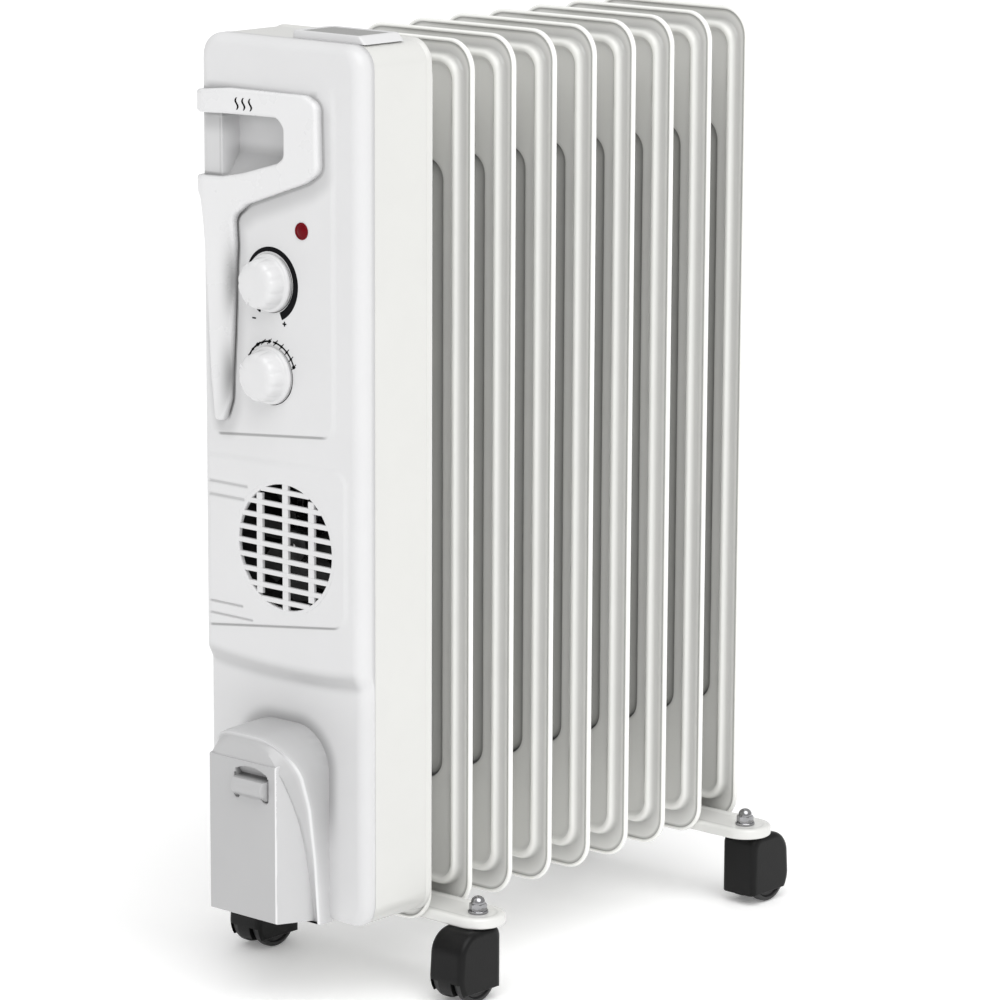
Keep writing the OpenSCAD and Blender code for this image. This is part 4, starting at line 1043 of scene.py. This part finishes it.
def caster(corner):
    hood, wheels = f"caster_hood_{corner}", f"caster_wheels_{corner}"
    lo, hi = box_mm(hood)
    cx, axle_y, axle_z = centre_mm(wheels)
    way = -1 if corner.startswith("front") else 1
    lead, trail = (hi.y, lo.y) if way < 0 else (lo.y, hi.y)
    hw, top, low = hi.x - cx, hi.z, lo.z
    reach = abs(trail - axle_y)

    def side(inset):
        """Outline of the hood seen along the axle: straight in front, round above and behind."""
        a, b = lead + way * inset, trail - way * (inset + 1)
        r, bow = reach - inset, HOOD_BOW - inset
        bow_y, bow_z = b - way * bow, top - inset - bow
        rear = [(bow_y + way * bow * math.sin(t), bow_z + bow * math.cos(t))
                for t in (math.pi / 2 * k / 12 for k in range(13))]
        floor = math.pi - math.acos((axle_z - low - inset * 0.3) / r)
        under = [(axle_y + way * r * math.sin(t), axle_z + r * math.cos(t))
                 for t in (math.pi / 2 + (floor - math.pi / 2) * k / 8 for k in range(9))]
        brow = 6.0
        front = [(a + way * brow * (1 - math.cos(t)), top - inset - brow + brow * math.sin(t))
                 for t in (math.pi / 2 * k / 8 for k in range(9))]
        return [(a, low + inset * 0.3)] + front + rear + under

    rings = [[(cx + s * x, y, z) for y, z in side(e)] for s, x, e in (
        (-1, hw, 4.5), (-1, hw - 0.25, 2.9), (-1, hw - 0.9, 1.5), (-1, hw - 2.2, 0.5), (-1, hw - 4, 0),
        (1, hw - 4, 0), (1, hw - 2.2, 0.5), (1, hw - 0.9, 1.5), (1, hw - 0.25, 2.9), (1, hw, 4.5))]
    body_mesh = Shape().loft(rings).mesh("hood")
    wells = Shape()
    for s in (-1, 1):
        x0, x1 = sorted((cx + s * WELL_X, cx + s * (hw - CHEEK)))
        wells.loft(revolve([(WELL_R, x0), (WELL_R, x1)], (0, axle_y, axle_z), "x", 64))
    hood_mesh = cut(body_mesh, wells)
    mouth = Shape()
    for s in (-1, 1):
        x0, x1 = sorted((cx + s * WELL_X, cx + s * (hw - CHEEK)))
        y0, y1 = sorted((axle_y, trail + way * 3))
        add_box(mouth, x0, x1, y0, y1, -2, 16)
    hood_mesh = cut(hood_mesh, mouth)
    place(hood_mesh, hood + "_shell", "caster_black", f"caster_{corner}", [hood], sharp=32)
    disc = Shape()
    for s in (-1, 1):
        x0, x1 = sorted((cx + s * WHEEL_X, cx + s * (hw - WHEEL_CHEEK)))
        r = box_mm(wheels)[1].z - axle_z
        profile = [(2.6, x0 + 0.6), (9.0, x0 + 0.6), (10.0, x0 + 1.4), (14.6, x0 + 1.4), (15.6, x0),
                   (r - 1.6, x0), (r - 0.5, x0 + 0.5), (r, x0 + 1.5), (r, x1 - 1.5), (r - 0.5, x1 - 0.5),
                   (r - 1.6, x1), (15.6, x1), (14.6, x1 - 1.4), (10.0, x1 - 1.4), (9.0, x1 - 0.6),
                   (2.6, x1 - 0.6)]
        disc.loft(revolve(profile, (0, axle_y, axle_z), "x", 64), loop=True)
    piece(disc, wheels + "_twin", "wheel_black", f"wheels_{corner}", [wheels], sharp=35)
    pin = f"caster_axle_{corner}"
    profile = [(1.9, cx - hw + 0.9), (2.5, cx - hw + 1.5), (2.5, cx + hw - 1.5), (1.9, cx + hw - 0.9)]
    piece(Shape().loft(revolve(profile, (0, axle_y, axle_z), "x", 32)), pin + "_pin", "zinc",
          f"caster_{corner}", [pin])


for corner in CORNERS:
    caster(corner)

# ---- fan blades ----

BLADE_COUNT, BLADE_R, ROOT_R = 7, 37.6, 9.5
BLADE_SECTION = ((-0.5, 0), (-0.25, 0.07), (0, 0.1), (0.25, 0.07), (0.5, 0), (0.25, 0.0), (0, 0.02),
                 (-0.25, 0.0))
hub_y0, hub_y1 = (corner.y for corner in box_mm("fan_impeller"))
y_mid = (hub_y0 + hub_y1) / 2
shaft_x, _, shaft_z = centre_mm("fan_shaft")
profile = [(1.7, hub_y1), (10.6, hub_y1), (11, hub_y1 - 0.6), (11, hub_y0 + 2.4), (10.2, hub_y0 + 0.8),
           (8, hub_y0 + 0.15), (1.7, hub_y0)]
blades = Shape().loft(revolve(profile, (shaft_x, 0, shaft_z), "y", 40), loop=True)
for k in range(BLADE_COUNT):
    rings = []
    for i in range(9):
        t = i / 8
        r = ROOT_R + (BLADE_R - ROOT_R) * t
        turn_angle = 2 * math.pi * k / BLADE_COUNT + 0.28 * t
        chord = 10 + 13 * math.sin(math.pi * min(1, 0.25 + 0.62 * t))
        pitch = math.radians(52 - 20 * t)
        section = []
        for u, v in BLADE_SECTION:
            across = chord * u * math.cos(pitch) * 0.95
            along = chord * u * math.sin(pitch) * 0.62 + chord * v
            a = turn_angle + across / r
            y = min(max(y_mid + along, hub_y0 + 0.1), hub_y1 - 0.1)
            section.append((shaft_x + r * math.cos(a), y, shaft_z + r * math.sin(a)))
        rings.append(section)
    blades.loft(rings)
piece(blades, "fan_blades", "duct_plastic", "fan_rotor", ["fan_impeller"], sharp=40)

# ---- carried-over CAD pieces ----

SLOTS = {s["node"]: s["material_slot"] for s in frame["record"]["subparts"]}
for name, ob in frame["nodes"].items():
    if ob.hide_render:
        continue
    ob.data.materials.clear()
    ob.data.materials.append(MATS[SLOTS[name]])

# ---- floor and light ----

FLOOR_GLOW = 0.16
WORLD_STRENGTH = 0.64
SUN_STRENGTH = 1.8
SUN_SPREAD = 60  # degrees


def flat(name, size, z, mat):
    me = bpy.data.meshes.new(name)
    corners = [(-size, -size, z), (size, -size, z), (size, size, z), (-size, size, z)]
    me.from_pydata(corners, [], [(0, 1, 2, 3)])
    me.materials.append(mat)
    ob = bpy.data.objects.new(name, me)
    scene.collection.objects.link(ob)
    return ob


FLOOR = material("floor_pale", (0.975, 0.975, 0.975), 0.6, vary=0.006, scale=3)
glow = next(n for n in FLOOR.node_tree.nodes if n.type == "BSDF_PRINCIPLED")
glow.inputs["Emission Color"].default_value = (1, 1, 1, 1)
glow.inputs["Emission Strength"].default_value = FLOOR_GLOW
flat("floor", 30, -0.0005, FLOOR)

world = bpy.data.worlds.new("studio")
scene.world = world
world.use_nodes = True
world.node_tree.nodes["Background"].inputs["Color"].default_value = (1, 1, 1, 1)
world.node_tree.nodes["Background"].inputs["Strength"].default_value = WORLD_STRENGTH


def sun(name, towards, strength, soft):
    data = bpy.data.lights.new(name, "SUN")
    data.energy, data.angle = strength, math.radians(soft)
    ob = bpy.data.objects.new(name, data)
    scene.collection.objects.link(ob)
    ob.rotation_mode = "QUATERNION"
    ob.rotation_quaternion = Vector(towards).to_track_quat("Z", "Y")


sun("key", (0.5, -0.3, 0.8), SUN_STRENGTH, SUN_SPREAD)
scene.view_settings.view_transform = "Standard"
